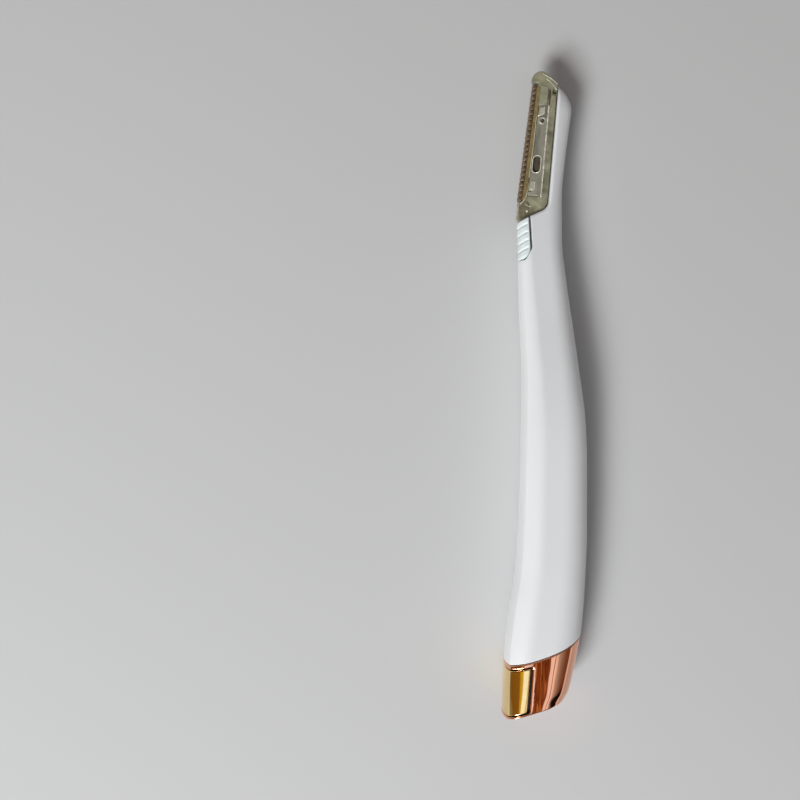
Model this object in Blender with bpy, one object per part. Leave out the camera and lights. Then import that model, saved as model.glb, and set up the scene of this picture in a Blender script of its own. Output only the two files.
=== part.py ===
"""Lighted dermaplaning tool with a slide-off blade head, lying on its side.

Metres, +Z up. The handle runs along +Y with the blade head at the +Y end, the blade edge
looks to -X and the broad flat land of the left shell rests on z = 0. Outlines are drawn in
the middle plane of the tool and the whole model is lifted by half its thickness at the end.
"""

import math

import bmesh
import bpy
from mathutils import Matrix, Vector

# The battery cell and the walls round it set the depth and the width of the handle
CELL_DIAMETER = 0.0105
CELL_RADIUS = CELL_DIAMETER / 2
CELL_SIDE_ROOM = 0.00065
SHELL_WALL = 0.0014
BODY_DEPTH = CELL_DIAMETER + 2 * (CELL_SIDE_ROOM + SHELL_WALL)
BODY_FOOT_Y = -0.0840
SPINE_TOP_Y = 0.0767

# How far the outline lies beyond the cell's radius in the lower half, as (y, distance) points
FRONT_ROOM = (
    (BODY_FOOT_Y, 0.00555),
    (-0.0800, 0.00535),
    (-0.0645, 0.00465),
    (-0.0545, 0.00345),
    (-0.0440, 0.00185),
    (-0.0330, 0.00110),
    (-0.0170, 0.00060),
)
BACK_ROOM = (
    (BODY_FOOT_Y, -0.00325),
    (-0.0768, -0.00065),
    (-0.0742, 0.00075),
    (-0.0690, 0.00205),
    (-0.0643, 0.00305),
    (-0.0592, 0.00395),
    (-0.0474, 0.00485),
    (-0.0330, 0.00535),
    (-0.0170, 0.00535),
    (-0.0058, 0.00485),
)

# Overall body: outlines in the middle plane, as (y, value) points joined by a smooth curve
FRONT_LINE = tuple((y, -CELL_RADIUS - room) for y, room in FRONT_ROOM) + (
    (0.0030, -0.00555),
    (0.0200, -0.0062),
    (0.0384, -0.0067),
    (0.0460, -0.0070),
    (0.0780, -0.0070),
)
BACK_LINE = tuple((y, CELL_RADIUS + room) for y, room in BACK_ROOM) + (
    (0.0013, 0.0092),
    (0.0154, 0.00725),
    (0.0278, 0.0055),
    (0.0384, 0.0044),
    (0.0482, 0.0044),
    (0.0588, 0.0053),
    (0.0680, 0.0065),
    (0.0708, 0.0068),
    (0.0734, 0.0062),
    (0.0755, 0.0048),
    (SPINE_TOP_Y, 0.0036),
)
DEPTH_LINE = (
    (BODY_FOOT_Y, BODY_DEPTH),
    (-0.0100, BODY_DEPTH),
    (0.0050, 0.0136),
    (0.0200, 0.0112),
    (0.0384, 0.0087),
    (0.0500, 0.0074),
    (0.0700, 0.0068),
    (SPINE_TOP_Y, 0.0056),
)
STATION_STEP = 0.0052

# Cross-section of the body
LAND_HALF = 0.0021
LAND_SHARE = 0.22
CREASE_SHARE = 0.75
FRONT_SAG = 0.0008
BACK_ROUNDNESS = 2.3
FRONT_STEPS = 3
SLOPE_STEPS = 4
BACK_STEPS = 8

# Walls and clearances
CAP_WALL = 0.0012
CAP_FLOOR = 0.0013
GAP = 0.0003
SEAM_GAP = 0.0003

# White handle to cap junction, a shallow arc, and the oblique flat foot of the cap
JUNCTION_Y = -0.06468
JUNCTION_SLOPE = 0.374
JUNCTION_CURVE = 10.3
JUNCTION_STEPS = 12
FOOT_Y = -0.0776
FOOT_ANGLE = math.radians(17.0)

# Head pocket and rail: s runs up the rail, t runs from the pocket rim toward the blade
RIM_X = 0.00074
RIM_Y = 0.04775
RAIL_LEAN = math.radians(5.05)
POCKET_CORNER_S = -0.00195
POCKET_EDGE_ANGLE = math.radians(29.05)
POCKET_FILLET = 0.0030
RAIL_START_S = 0.0006
RAIL_END_S = 0.0268
RAIL_WEB = 0.0007
RAIL_FLANGE = 0.0018
RAIL_FLANGE_DEPTH = 0.0006
RAIL_REACH = 0.0018
RAIL_ROOT = 0.0021

# Blade head
HEAD_DEPTH = 0.0055
HEAD_FLAT_T = 0.0020
HEAD_EDGE_T = 0.0056
HEAD_EDGE_HALF = 0.00125
HEAD_TOP_S = 0.0292
BULB_S = 0.0304
BULB_T = 0.0046
BULB_RADIUS = 0.00195
BULB_START = math.radians(115.0)
BULB_SWEEP = math.radians(155.0)
HEAD_TIP_T = 0.0074
HEAD_CORNER_S = -0.0008
COVER_START_T = 0.0019
COVER_BAND = 0.0012
COVER_START_S = 0.0010
COVER_END_S = 0.0275
COVER_THICKNESS = 0.0010
COVER_SLOT_S = 0.0089
COVER_SLOT_T = 0.0036
COVER_SLOT_LENGTH = 0.0042
COVER_SLOT_WIDTH = 0.00165
COVER_NOTCH_LENGTH = 0.0022
COVER_NOTCH_DEPTH = 0.0008
COVER_BOSS_S = 0.0200
COVER_BOSS_RADIUS = 0.00075
COVER_BOSS_HEIGHT = 0.0004
BLADE_THICKNESS = 0.0003
BLADE_WIDTH = 0.0030
BLADE_BEVEL = 0.0006
BLADE_START_S = -0.0004
BLADE_END_S = 0.0293
EDGE_T = 0.0071
EDGE_SLOPE = -0.0425
GUARD_WRAP = 0.0004
GUARD_REACH = 0.0006
GUARD_DEPTH = 0.0018
GUARD_SLOT = 0.0008
GUARD_PITCH = 0.0013
GUARD_TOOTH = 0.0008
GUARD_BAND = 0.00035
GUARD_END_BAND = 0.0006

# Ejecting slider in the front edge
SLIDER_BACK_TOP_X = -0.00435
SLIDER_BACK_FOOT_X = -0.00400
SLIDER_BACK_FOOT_Y = 0.0358
SLIDER_HEEL_X = -0.0054
SLIDER_FOOT_Y = 0.0330
SLIDER_FOOT_ROUND = 0.0015
SLIDER_HEEL_ROUND = 0.0010
SLIDER_SIDE_GAP = 0.0006
SLIDER_TRAVEL = 0.0030
SLIDER_STEM_DEPTH = 0.0016
SLIDER_STEM_LENGTH = 0.0018
SLIDER_STEM_RISE = 0.0022
SLIDER_FOOT_DEPTH = 0.0024
SLIDER_FOOT_THICKNESS = 0.0020
SLIDER_RIDGES = 4
RIDGE_START = 0.0018
RIDGE_PITCH = 0.0020
RIDGE_CUT = 0.0004
RIDGE_ANGLE = math.radians(22.0)
SLOT_WALL = 0.0011
SLOT_BLEND_Y = 0.0280
SLOT_BLEND_LENGTH = 0.0040
CAVITY_TOP_Y = 0.0430

# Slider spring and its post
SPRING_RADIUS = 0.0008
SPRING_WIRE = 0.0004
SPRING_TURNS = 9
SPRING_TURN_POINTS = 8
SPRING_SIDES = 5
POST_Y = 0.0230
POST_RADIUS = 0.0010
POST_TOP_Z = 0.0012

# Battery cell and its place in the handle
CELL_LENGTH = 0.0445
CELL_BEVEL = 0.0005
CELL_NUB_DIAMETER = 0.0038
CELL_NUB_HEIGHT = 0.0010
CELL_FOOT_X = -0.0016
CELL_FOOT_Y = -0.0703
CELL_LEAN = math.radians(4.8)
CRADLE_CLEARANCE = 0.00025
CRADLE_WALL = 0.00055
CRADLE_END_WALL = 0.0015
CRADLE_SLAB_ROOM = 0.0004
COLLAR_INSET = 0.0018
COLLAR_FOOT_A = -0.0015
COLLAR_TOP_A = 0.0095

# Contacts
CONTACT_THICKNESS = 0.0004
CONTACT_GAP = 0.0003
POSITIVE_PLATE = 0.0060
POSITIVE_TAB = 0.0024
POSITIVE_TAB_LENGTH = 0.0046
STRIP_ANGLE = math.radians(40.0)
STRIP_WIDTH = 0.0020
STRIP_THICKNESS = 0.0003
STRIP_FOOT_A = -0.0008
STRIP_ABOVE_CRADLE = 0.0030
STRIP_TAB_LENGTH = 0.0019
STRIP_TAB_END_B = 0.0018
STRIP_GAP = 0.0003

# Inside of the cap
CELL_SPRING_HEIGHT = 0.0023
CELL_SPRING_WIRE = 0.0005
CELL_SPRING_WIDE = 0.0034
CELL_SPRING_NARROW = 0.0018
CELL_SPRING_TURNS = 3
CELL_SPRING_TURN_POINTS = 10
CAP_CONTACT_RADIUS = 0.0042
SWITCH_BOARD_RADIUS = 0.0068
SWITCH_BOARD_BACK = 0.0056
SWITCH_BOARD_FRONT = 0.0057
SWITCH_BOARD_THICKNESS = 0.0008
SWITCH_LENGTH = 0.0030
SWITCH_WIDTH = 0.0035
SWITCH_HEIGHT = 0.0024
SWITCH_FRONT_B = -0.0056
PLUNGER_REACH = 0.00025
PLUNGER_SIZE = 0.0012
CORE_INSET = 0.0018

# Power key that wraps round the front of the cap
KEY_THICKNESS = 0.0010
KEY_TRAVEL = 0.0005
KEY_SIDE_GAP = 0.0007
KEY_TOP_X = -0.00435
KEY_FOOT_X = -0.00525
KEY_BELOW_JUNCTION = 0.00145
KEY_TOP_SLOPE = 0.157
KEY_ABOVE_FOOT = 0.00075
KEY_CORNER = 0.0005
KEY_STEM_A = -0.0057
KEY_STEM_SIZE = 0.0020

# Driver board, which stands clear of the cradle's end
CRADLE_TOP_A = CELL_LENGTH + 2 * CONTACT_GAP + CONTACT_THICKNESS + CRADLE_END_WALL
STRIP_TOP_A = CRADLE_TOP_A + STRIP_ABOVE_CRADLE
BOARD_X = 0.0019
BOARD_WIDTH = 0.0080
BOARD_LENGTH = 0.0263
BOARD_ABOVE_CRADLE = 0.0019
BOARD_FOOT_Y = CELL_FOOT_Y + CRADLE_TOP_A * math.cos(CELL_LEAN) + BOARD_ABOVE_CRADLE
BOARD_TOP_Y = BOARD_FOOT_Y + BOARD_LENGTH
BOARD_THICKNESS = 0.0010
BOARD_TOP_Z = 0.0
BOARD_HOLE_INSET = 0.0022
SCREW_RADIUS = 0.0008
SCREW_HOLE_RADIUS = 0.0011
SCREW_HEAD_RADIUS = 0.0016
SCREW_HEAD_HEIGHT = 0.0010
SCREW_LENGTH = 0.0045
BOSS_RADIUS = 0.0021
INDUCTOR_ALONG = 0.0095
INDUCTOR_SEGMENTS = 16
INDUCTOR_RADIUS = 0.0025
INDUCTOR_WAIST = 0.0017
INDUCTOR_HEIGHT = 0.0028
CHIP_X = 0.0034
CHIP_ALONG = 0.0175
CHIP_LENGTH = 0.0030
CHIP_WIDTH = 0.0026
CHIP_HEIGHT = 0.0011
CAPACITOR_X = 0.0002
CAPACITOR_ALONG = 0.0170
CAPACITOR_LENGTH = 0.0032
CAPACITOR_WIDTH = 0.0016
CAPACITOR_HEIGHT = 0.0013
PART_GAP = 0.00025

# Light
LIGHT_T = 0.0010
WINDOW_WIDTH = 0.0022
WINDOW_DEPTH = 0.0030
WINDOW_TOP_S = -0.0033
WINDOW_FOOT_S = -0.0047
LED_WIDTH = 0.0022
LED_DEPTH = 0.0028
LED_HEIGHT = 0.0013
LED_TOP_S = -0.0051
LED_BOARD_WIDTH = 0.0030
LED_BOARD_DEPTH = 0.0032
LED_BOARD_SHIFT = 0.0006
LED_BOARD_THICKNESS = 0.0008
WIRE_RADIUS = 0.00035
WIRE_SPREAD = 0.0009
WIRE_END_SPREAD = 0.0029
WIRE_ABOVE_BOARD = 0.0022
WIRE_ON_BOARD = 0.0018
WIRE_POINTS = (
    (0.00115, 0.0398),
    (0.0016, 0.0340),
    (0.0022, 0.0240),
    (0.0023, 0.0140),
    (0.0020, BOARD_TOP_Y + WIRE_ABOVE_BOARD),
    (0.0019, BOARD_TOP_Y - WIRE_ON_BOARD),
)

# Detail of round things
TURN_SEGMENTS = 24
SMALL_SEGMENTS = 12
ARC_STEPS = 5
WIRE_SIDES = 6
FAR = 0.0200

MID_Z = BODY_DEPTH / 2
HALF_SEAM = SEAM_GAP / 2


def remove_everything():
    for existing in list(bpy.data.objects):
        bpy.data.objects.remove(existing, do_unlink=True)


def material(name, color, roughness, metallic=0.0, transmission=0.0):
    made = bpy.data.materials.new(name)
    made.use_nodes = True
    shader = made.node_tree.nodes["Principled BSDF"]
    shader.inputs["Base Color"].default_value = (*color, 1.0)
    shader.inputs["Roughness"].default_value = roughness
    shader.inputs["Metallic"].default_value = metallic
    shader.inputs["Transmission Weight"].default_value = transmission
    made.diffuse_color = (*color, 1.0)
    return made


# Frames: a frame maps its own coordinates to the model


def frame(origin, first, second):
    third = Vector((0.0, 0.0, 1.0))
    matrix = Matrix.Identity(4)
    for row in range(3):
        matrix[row][0] = first[row]
        matrix[row][1] = second[row]
        matrix[row][2] = third[row]
        matrix[row][3] = origin[row]
    return matrix


MODEL = Matrix.Identity(4)
RAIL_UP = Vector((math.sin(RAIL_LEAN), math.cos(RAIL_LEAN), 0.0))
RAIL_FRONT = Vector((-math.cos(RAIL_LEAN), math.sin(RAIL_LEAN), 0.0))
RAIL = frame(Vector((RIM_X, RIM_Y, 0.0)), RAIL_UP, RAIL_FRONT)
CELL_UP = Vector((math.sin(CELL_LEAN), math.cos(CELL_LEAN), 0.0))
CELL_BACK = Vector((math.cos(CELL_LEAN), -math.sin(CELL_LEAN), 0.0))
CELL = frame(Vector((CELL_FOOT_X, CELL_FOOT_Y, 0.0)), CELL_UP, CELL_BACK)


# Basic closed solids


def object_from(name, mesh_data):
    bmesh.ops.recalc_face_normals(mesh_data, faces=mesh_data.faces)
    mesh = bpy.data.meshes.new(name)
    mesh_data.to_mesh(mesh)
    mesh_data.free()
    made = bpy.data.objects.new(name, mesh)
    bpy.context.scene.collection.objects.link(made)
    return made


def skin(name, rings, closed_ends=True):
    """A closed solid through a row of rings that have the same number of points."""
    mesh_data = bmesh.new()
    rows = []
    for ring in rings:
        rows.append([mesh_data.verts.new(point) for point in ring])
    count = len(rows[0])
    for lower, upper in zip(rows, rows[1:]):
        for index in range(count):
            following = (index + 1) % count
            mesh_data.faces.new((lower[index], lower[following], upper[following], upper[index]))
    if closed_ends:
        mesh_data.faces.new(list(reversed(rows[0])))
        mesh_data.faces.new(rows[-1])
    return object_from(name, mesh_data)


def prism(name, outline, low_z, high_z, place=MODEL):
    """An outline in the first two axes of a frame, drawn out along z."""
    rings = []
    for level in (low_z, high_z):
        rings.append([place @ Vector((p, q, level)) for p, q in outline])
    return skin(name, rings)


def block(name, p_range, q_range, z_range, place=MODEL):
    low_p, high_p = p_range
    low_q, high_q = q_range
    outline = ((low_p, low_q), (high_p, low_q), (high_p, high_q), (low_p, high_q))
    return prism(name, outline, z_range[0], z_range[1], place)


def bar(name, outline, low_p, high_p, place):
    """An outline in a frame's second axis and z, drawn out along its first axis."""
    rings = []
    for along in (low_p, high_p):
        rings.append([place @ Vector((along, q, z)) for q, z in outline])
    return skin(name, rings)


def turned(name, profile, place, segments=TURN_SEGMENTS, center=(0.0, 0.0)):
    """A profile of (along, radius) points turned about the first axis of a frame."""
    rings = []
    for along, radius in profile:
        ring = []
        for index in range(segments):
            angle = 2.0 * math.pi * index / segments
            across = center[0] + radius * math.cos(angle)
            height = center[1] + radius * math.sin(angle)
            ring.append(place @ Vector((along, across, height)))
        rings.append(ring)
    return skin(name, rings)


def upright(name, profile, x, y, segments=SMALL_SEGMENTS):
    """A profile of (z, radius) points turned about a line along z."""
    rings = []
    for level, radius in profile:
        ring = []
        for index in range(segments):
            angle = 2.0 * math.pi * (index + 0.5) / segments
            ring.append(Vector((x + radius * math.cos(angle), y + radius * math.sin(angle), level)))
        rings.append(ring)
    return skin(name, rings)


def tube(name, path, radius, sides=WIRE_SIDES):
    """A round tube along a path of points, with flat ends."""
    rings = []
    last = len(path) - 1
    for index, point in enumerate(path):
        ahead = path[min(index + 1, last)]
        behind = path[max(index - 1, 0)]
        along = (ahead - behind).normalized()
        across = along.cross(Vector((0.0, 0.0, 1.0)))
        if across.length < 0.1:
            across = along.cross(Vector((1.0, 0.0, 0.0)))
        across.normalize()
        rise = across.cross(along)
        ring = []
        for side in range(sides):
            angle = 2.0 * math.pi * side / sides
            ring.append(point + radius * (math.cos(angle) * across + math.sin(angle) * rise))
        rings.append(ring)
    return skin(name, rings)


def combine(target, tool, operation):
    """Applies one exact Boolean and throws the tool away."""
    modifier = target.modifiers.new(operation, "BOOLEAN")
    modifier.object = tool
    modifier.operation = operation
    modifier.solver = "EXACT"
    bpy.context.view_layer.update()
    graph = bpy.context.evaluated_depsgraph_get()
    result = bpy.data.meshes.new_from_object(target.evaluated_get(graph))
    target.modifiers.clear()
    target.data = result
    bpy.data.objects.remove(tool, do_unlink=True)
    return target


def cut(target, tool):
    return combine(target, tool, "DIFFERENCE")


def join(target, tool):
    return combine(target, tool, "UNION")


def keep(target, tool):
    return combine(target, tool, "INTERSECT")


# Outlines


def rounded(points, radii):
    """A closed outline whose corners are arcs of the given radii; zero keeps a sharp corner."""
    outline = []
    count = len(points)
    for index in range(count):
        corner = Vector(points[index])
        radius = radii[index]
        if radius == 0.0:
            outline.append(tuple(corner))
            continue
        before = (Vector(points[index - 1]) - corner).normalized()
        after = (Vector(points[(index + 1) % count]) - corner).normalized()
        half_angle = before.angle(after) / 2
        reach = radius / math.tan(half_angle)
        center = corner + (before + after).normalized() * radius / math.sin(half_angle)
        start = corner + before * reach - center
        turn = start.angle_signed(corner + after * reach - center)
        for step in range(ARC_STEPS + 1):
            angle = -turn * step / ARC_STEPS
            rotated = Vector((
                start.x * math.cos(angle) - start.y * math.sin(angle),
                start.x * math.sin(angle) + start.y * math.cos(angle),
            ))
            outline.append(tuple(center + rotated))
    return outline


def line_slope(points, index):
    """Slope of the smooth curve at one of its points; flat where the curve turns or levels."""
    here = points[index]
    before = points[max(index - 1, 0)]
    after = points[min(index + 1, len(points) - 1)]
    if before is not here and after is not here:
        rise_before = here[1] - before[1]
        rise_after = after[1] - here[1]
        if rise_before * rise_after <= 0.0:
            return 0.0
    return (after[1] - before[1]) / (after[0] - before[0])


def line_value(points, y):
    """The smooth curve through (y, value) points, held flat past its ends."""
    if y <= points[0][0]:
        return points[0][1]
    if y >= points[-1][0]:
        return points[-1][1]
    index = 0
    while y > points[index + 1][0]:
        index += 1
    slopes = [line_slope(points, index), line_slope(points, index + 1)]
    start, end = points[index], points[index + 1]
    span = end[0] - start[0]
    share = (y - start[0]) / span
    square = share * share
    cube = square * share
    value = (2 * cube - 3 * square + 1) * start[1] + (3 * square - 2 * cube) * end[1]
    value += (cube - 2 * square + share) * span * slopes[0]
    value += (cube - square) * span * slopes[1]
    return value


def section(front, back, half_depth):
    """Ring of (x, z) points: bowed front face, crease, flat land on each side, rounded back."""
    land_half = min(LAND_HALF, LAND_SHARE * (back - front))
    ridge = (front + back) / 2
    crease_z = CREASE_SHARE * half_depth
    crease_x = front + FRONT_SAG
    upper = []
    for step in range(FRONT_STEPS + 1):
        share = step / FRONT_STEPS
        upper.append((front + FRONT_SAG * share * share, crease_z * share))
    for step in range(1, SLOPE_STEPS + 1):
        share = step / SLOPE_STEPS
        x = crease_x + (ridge - land_half - crease_x) * share
        upper.append((x, half_depth - (half_depth - crease_z) * (1 - share) ** 2))
    for step in range(BACK_STEPS + 1):
        angle = math.pi / 2 * (1 - step / BACK_STEPS)
        power = 2 / BACK_ROUNDNESS
        along = max(math.cos(angle), 0.0) ** power
        rise = max(math.sin(angle), 0.0) ** power
        upper.append((ridge + land_half + (back - ridge - land_half) * along, half_depth * rise))
    lower = [(x, -z) for x, z in reversed(upper[1:-1])]
    return upper + lower


def stations(low_y, high_y):
    count = max(2, math.ceil((high_y - low_y) / STATION_STEP))
    return [low_y + (high_y - low_y) * index / count for index in range(count + 1)]


def body_solid(name, inset=0.0, low_y=BODY_FOOT_Y, high_y=SPINE_TOP_Y):
    """The outer form of the handle and cap, or that form drawn in by an inset."""
    levels = stations(low_y, high_y)
    if high_y > BACK_LINE[-5][0]:
        extra = [point[0] for point in BACK_LINE[-4:-1]]
        levels = sorted([level for level in levels if level < BACK_LINE[-5][0]] + extra + [high_y])
    rings = []
    for y in levels:
        front = line_value(FRONT_LINE, y) + inset
        back = line_value(BACK_LINE, y) - inset
        half_depth = line_value(DEPTH_LINE, y) / 2 - inset
        rings.append([Vector((x, y, z)) for x, z in section(front, back, half_depth)])
    return skin(name, rings)


def slot_back_x(y):
    """Back wall of the slider's slot in the middle plane."""
    top_y = CAVITY_TOP_Y
    share = (y - SLIDER_BACK_FOOT_Y) / (top_y - SLIDER_BACK_FOOT_Y)
    edge = SLIDER_BACK_FOOT_X + (SLIDER_BACK_TOP_X - SLIDER_BACK_FOOT_X) * share
    return edge + SLIDER_SIDE_GAP


def cavity_solid(name):
    """The hollow of the handle; it steps back behind the slider's slot."""
    behind_slot = slot_back_x(SLIDER_BACK_FOOT_Y) + SLOT_WALL
    rings = []
    for y in stations(BODY_FOOT_Y, CAVITY_TOP_Y):
        front = line_value(FRONT_LINE, y) + SHELL_WALL
        back = line_value(BACK_LINE, y) - SHELL_WALL
        half_depth = line_value(DEPTH_LINE, y) / 2 - SHELL_WALL
        blend = min(max((y - SLOT_BLEND_Y) / SLOT_BLEND_LENGTH, 0.0), 1.0)
        front += (behind_slot - front) * blend
        rings.append([Vector((x, y, z)) for x, z in section(front, back, half_depth)])
    return skin(name, rings)


def junction_y(x):
    return JUNCTION_Y + JUNCTION_SLOPE * x + JUNCTION_CURVE * x * x


def foot_y(x):
    return FOOT_Y + math.tan(FOOT_ANGLE) * x


def below_junction(name, drop):
    """Everything below the junction arc, which is moved down by a drop."""
    outline = [(-FAR, BODY_FOOT_Y - FAR)]
    for step in range(JUNCTION_STEPS + 1):
        x = -FAR + 2 * FAR * step / JUNCTION_STEPS
        outline.append((x, junction_y(x) - drop))
    outline.append((FAR, BODY_FOOT_Y - FAR))
    return prism(name, outline, -FAR, FAR)


def below_foot(name, rise):
    """Everything below the flat foot, which is moved up by a rise."""
    lift = rise / math.cos(FOOT_ANGLE)
    outline = (
        (-FAR, BODY_FOOT_Y - FAR),
        (-FAR, foot_y(-FAR) + lift),
        (FAR, foot_y(FAR) + lift),
        (FAR, BODY_FOOT_Y - FAR),
    )
    return prism(name, outline, -FAR, FAR)


def pocket_edge_s(t):
    return POCKET_CORNER_S - math.tan(POCKET_EDGE_ANGLE) * t


def pocket_outline(inward=0.0):
    """The pocket that is open at the front and top, drawn in by a clearance."""
    slope = math.tan(POCKET_EDGE_ANGLE)
    corner_s = POCKET_CORNER_S + inward / math.cos(POCKET_EDGE_ANGLE) - slope * inward
    points = (
        (3 * FAR, inward),
        (corner_s, inward),
        (corner_s - slope * (FAR - inward), FAR),
        (3 * FAR, FAR),
    )
    return rounded(points, (0.0, POCKET_FILLET - inward, 0.0, 0.0))


def pocket_solid(name, inward=0.0):
    return prism(name, pocket_outline(inward), -FAR, FAR, RAIL)


def slider_outline(side_gap, end_gap):
    """Slider seen from the side, or its slot when the gaps are given."""
    back_top = SLIDER_BACK_TOP_X + side_gap
    back_foot = SLIDER_BACK_FOOT_X + side_gap
    lean = (SLIDER_BACK_TOP_X - SLIDER_BACK_FOOT_X) / (CAVITY_TOP_Y - SLIDER_BACK_FOOT_Y)
    high_y = SLIDER_BACK_FOOT_Y + 2 * (CAVITY_TOP_Y - SLIDER_BACK_FOOT_Y)
    points = (
        (-FAR, high_y),
        (back_top + lean * (high_y - CAVITY_TOP_Y), high_y),
        (back_foot, SLIDER_BACK_FOOT_Y),
        (SLIDER_HEEL_X + side_gap / 2, SLIDER_FOOT_Y - end_gap),
        (-FAR, SLIDER_FOOT_Y - end_gap),
    )
    return rounded(points, (0.0, 0.0, SLIDER_FOOT_ROUND, SLIDER_HEEL_ROUND, 0.0))


def key_outline(side_gap, end_gap):
    """Power key seen from the side, or its window when the gaps are given."""
    top_x = KEY_TOP_X + side_gap
    bottom_x = KEY_FOOT_X + side_gap
    top_y = junction_y(top_x) - KEY_BELOW_JUNCTION + end_gap
    points = (
        (-FAR, top_y - KEY_TOP_SLOPE * (FAR + top_x)),
        (top_x, top_y),
        (bottom_x, foot_y(bottom_x) + KEY_ABOVE_FOOT - end_gap),
        (-FAR, foot_y(-FAR) + KEY_ABOVE_FOOT - end_gap),
    )
    return rounded(points, (0.0, KEY_CORNER + end_gap, KEY_CORNER + end_gap, 0.0))


def edge_t(s):
    return EDGE_T + EDGE_SLOPE * s


# Materials, each named after the stuff it stands for


def make_materials():
    return {
        "white": material("satin_white", (0.78, 0.79, 0.80), 0.32),
        "slider": material("cool_white", (0.72, 0.78, 0.78), 0.35),
        "copper": material("rose_gold", (0.80, 0.42, 0.26), 0.12, 1.0),
        "gold": material("yellow_gold", (0.80, 0.58, 0.24), 0.16, 1.0),
        "head": material("smoky_clear", (0.48, 0.45, 0.30), 0.20, 0.0, 0.5),
        "cover": material("smoky_clear_cover", (0.56, 0.53, 0.38), 0.18, 0.0, 0.5),
        "blade": material("polished_steel", (0.62, 0.50, 0.32), 0.20, 1.0),
        "guard": material("etched_steel", (0.36, 0.30, 0.28), 0.38, 1.0),
        "inner": material("grey_plastic", (0.22, 0.23, 0.24), 0.5),
        "rail": material("rail_plastic", (0.66, 0.67, 0.66), 0.4),
        "brass": material("contact_brass", (0.78, 0.60, 0.30), 0.28, 1.0),
        "spring": material("spring_steel", (0.66, 0.66, 0.68), 0.25, 1.0),
        "cell": material("cell_sleeve", (0.10, 0.12, 0.16), 0.3),
        "board": material("board_green", (0.05, 0.24, 0.12), 0.4),
        "chip": material("chip_black", (0.03, 0.03, 0.03), 0.45),
        "ferrite": material("ferrite_grey", (0.12, 0.11, 0.11), 0.6),
        "ceramic": material("capacitor_tan", (0.50, 0.38, 0.24), 0.4),
        "led": material("led_lens", (0.90, 0.86, 0.60), 0.2),
        "clear": material("clear_plastic", (0.86, 0.90, 0.90), 0.08, 0.0, 0.9),
        "red": material("wire_red", (0.55, 0.03, 0.02), 0.4),
        "black": material("wire_black", (0.02, 0.02, 0.02), 0.4),
    }


def finish(made, name, surface, smooth_angle=None):
    made.name = name
    made.data.name = name
    made.data.materials.clear()
    made.data.materials.append(surface)
    if smooth_angle is not None:
        made.data.shade_smooth()
        made.data.set_sharp_from_angle(angle=smooth_angle)
    return made


SMOOTH = math.radians(35.0)


# Handle shells


def rail_section(spread):
    """I-shaped section of the rail in t and z, grown by a spread for the slots it fits."""
    web = RAIL_WEB / 2 + spread
    flange = RAIL_FLANGE / 2 + spread
    outer = RAIL_REACH + spread
    outer_in = RAIL_REACH - RAIL_FLANGE_DEPTH - spread
    root = -RAIL_ROOT - spread
    root_in = -RAIL_ROOT + RAIL_FLANGE_DEPTH + spread
    return (
        (root, -flange),
        (root_in, -flange),
        (root_in, -web),
        (outer_in, -web),
        (outer_in, -flange),
        (outer, -flange),
        (outer, flange),
        (outer_in, flange),
        (outer_in, web),
        (root_in, web),
        (root_in, flange),
        (root, flange),
    )


def board_screw_places():
    low = BOARD_FOOT_Y + BOARD_HOLE_INSET
    high = BOARD_TOP_Y - BOARD_HOLE_INSET
    return ((BOARD_X, low), (BOARD_X, high))


def stem_slot(name):
    """The way through the wall behind the slider for its stem."""
    low_y = stem_foot_y() - GAP
    high_y = stem_foot_y() + SLIDER_STEM_LENGTH + SLIDER_TRAVEL + GAP
    half = SLIDER_STEM_DEPTH / 2 + GAP
    return block(name, (-2 * FAR, slot_back_x(SLIDER_BACK_FOOT_Y) + 2 * SLOT_WALL),
                 (low_y, high_y), (-half, half))


def stem_foot_y():
    return SLIDER_FOOT_Y + SLIDER_STEM_RISE


def make_shell(name, side, surface):
    """One half of the handle; side is +1 above the middle plane and -1 below it."""
    shell = body_solid(name)
    near, far = side * HALF_SEAM, side * FAR
    keep(shell, block("half", (-5 * FAR, 5 * FAR), (-5 * FAR, 5 * FAR),
                      (min(near, far), max(near, far))))
    cut(shell, cavity_solid("cavity"))
    cut(shell, below_junction("below", 0.0))
    cut(shell, pocket_solid("pocket"))
    cut(shell, prism("slot", slider_outline(SLIDER_SIDE_GAP, GAP), -FAR, FAR))
    cut(shell, stem_slot("stem_slot"))
    cut(shell, bar("rail_slot", rail_section(GAP / 2 + HALF_SEAM / 2),
                   RAIL_START_S - GAP, RAIL_END_S + GAP, RAIL))
    half = WINDOW_DEPTH / 2 + GAP / 2
    cut(shell, block("window_hole", (LED_TOP_S, POCKET_FILLET),
                     (LIGHT_T - WINDOW_WIDTH / 2 - GAP / 2, LIGHT_T + WINDOW_WIDTH / 2 + GAP / 2),
                     (-half, half), RAIL))
    if side < 0:
        for x, y in board_screw_places():
            floor_z = wall_middle_z(y)
            top_z = BOARD_TOP_Z - BOARD_THICKNESS - PART_GAP
            boss = upright("boss", ((floor_z, BOSS_RADIUS), (top_z, BOSS_RADIUS)), x, y)
            foot_z = top_z - SCREW_LENGTH
            hole = upright("hole", ((foot_z, SCREW_HOLE_RADIUS), (0.0, SCREW_HOLE_RADIUS)), x, y)
            join(shell, boss)
            cut(shell, hole)
        profile = ((wall_middle_z(POST_Y), POST_RADIUS), (POST_TOP_Z, POST_RADIUS))
        join(shell, upright("post", profile, spring_x(), POST_Y))
    return finish(shell, name, surface, SMOOTH)


def wall_middle_z(y):
    """Middle of the left shell's broad wall, where posts and bosses take root."""
    return -line_value(DEPTH_LINE, y) / 2 + SHELL_WALL / 2


def spring_x():
    """The slider spring hangs in line with the foot of the slider's stem."""
    back = slot_back_x(SLIDER_BACK_FOOT_Y) + SLOT_WALL + GAP + SLIDER_FOOT_THICKNESS
    return back - SPRING_RADIUS + SPRING_WIRE / 2


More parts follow.
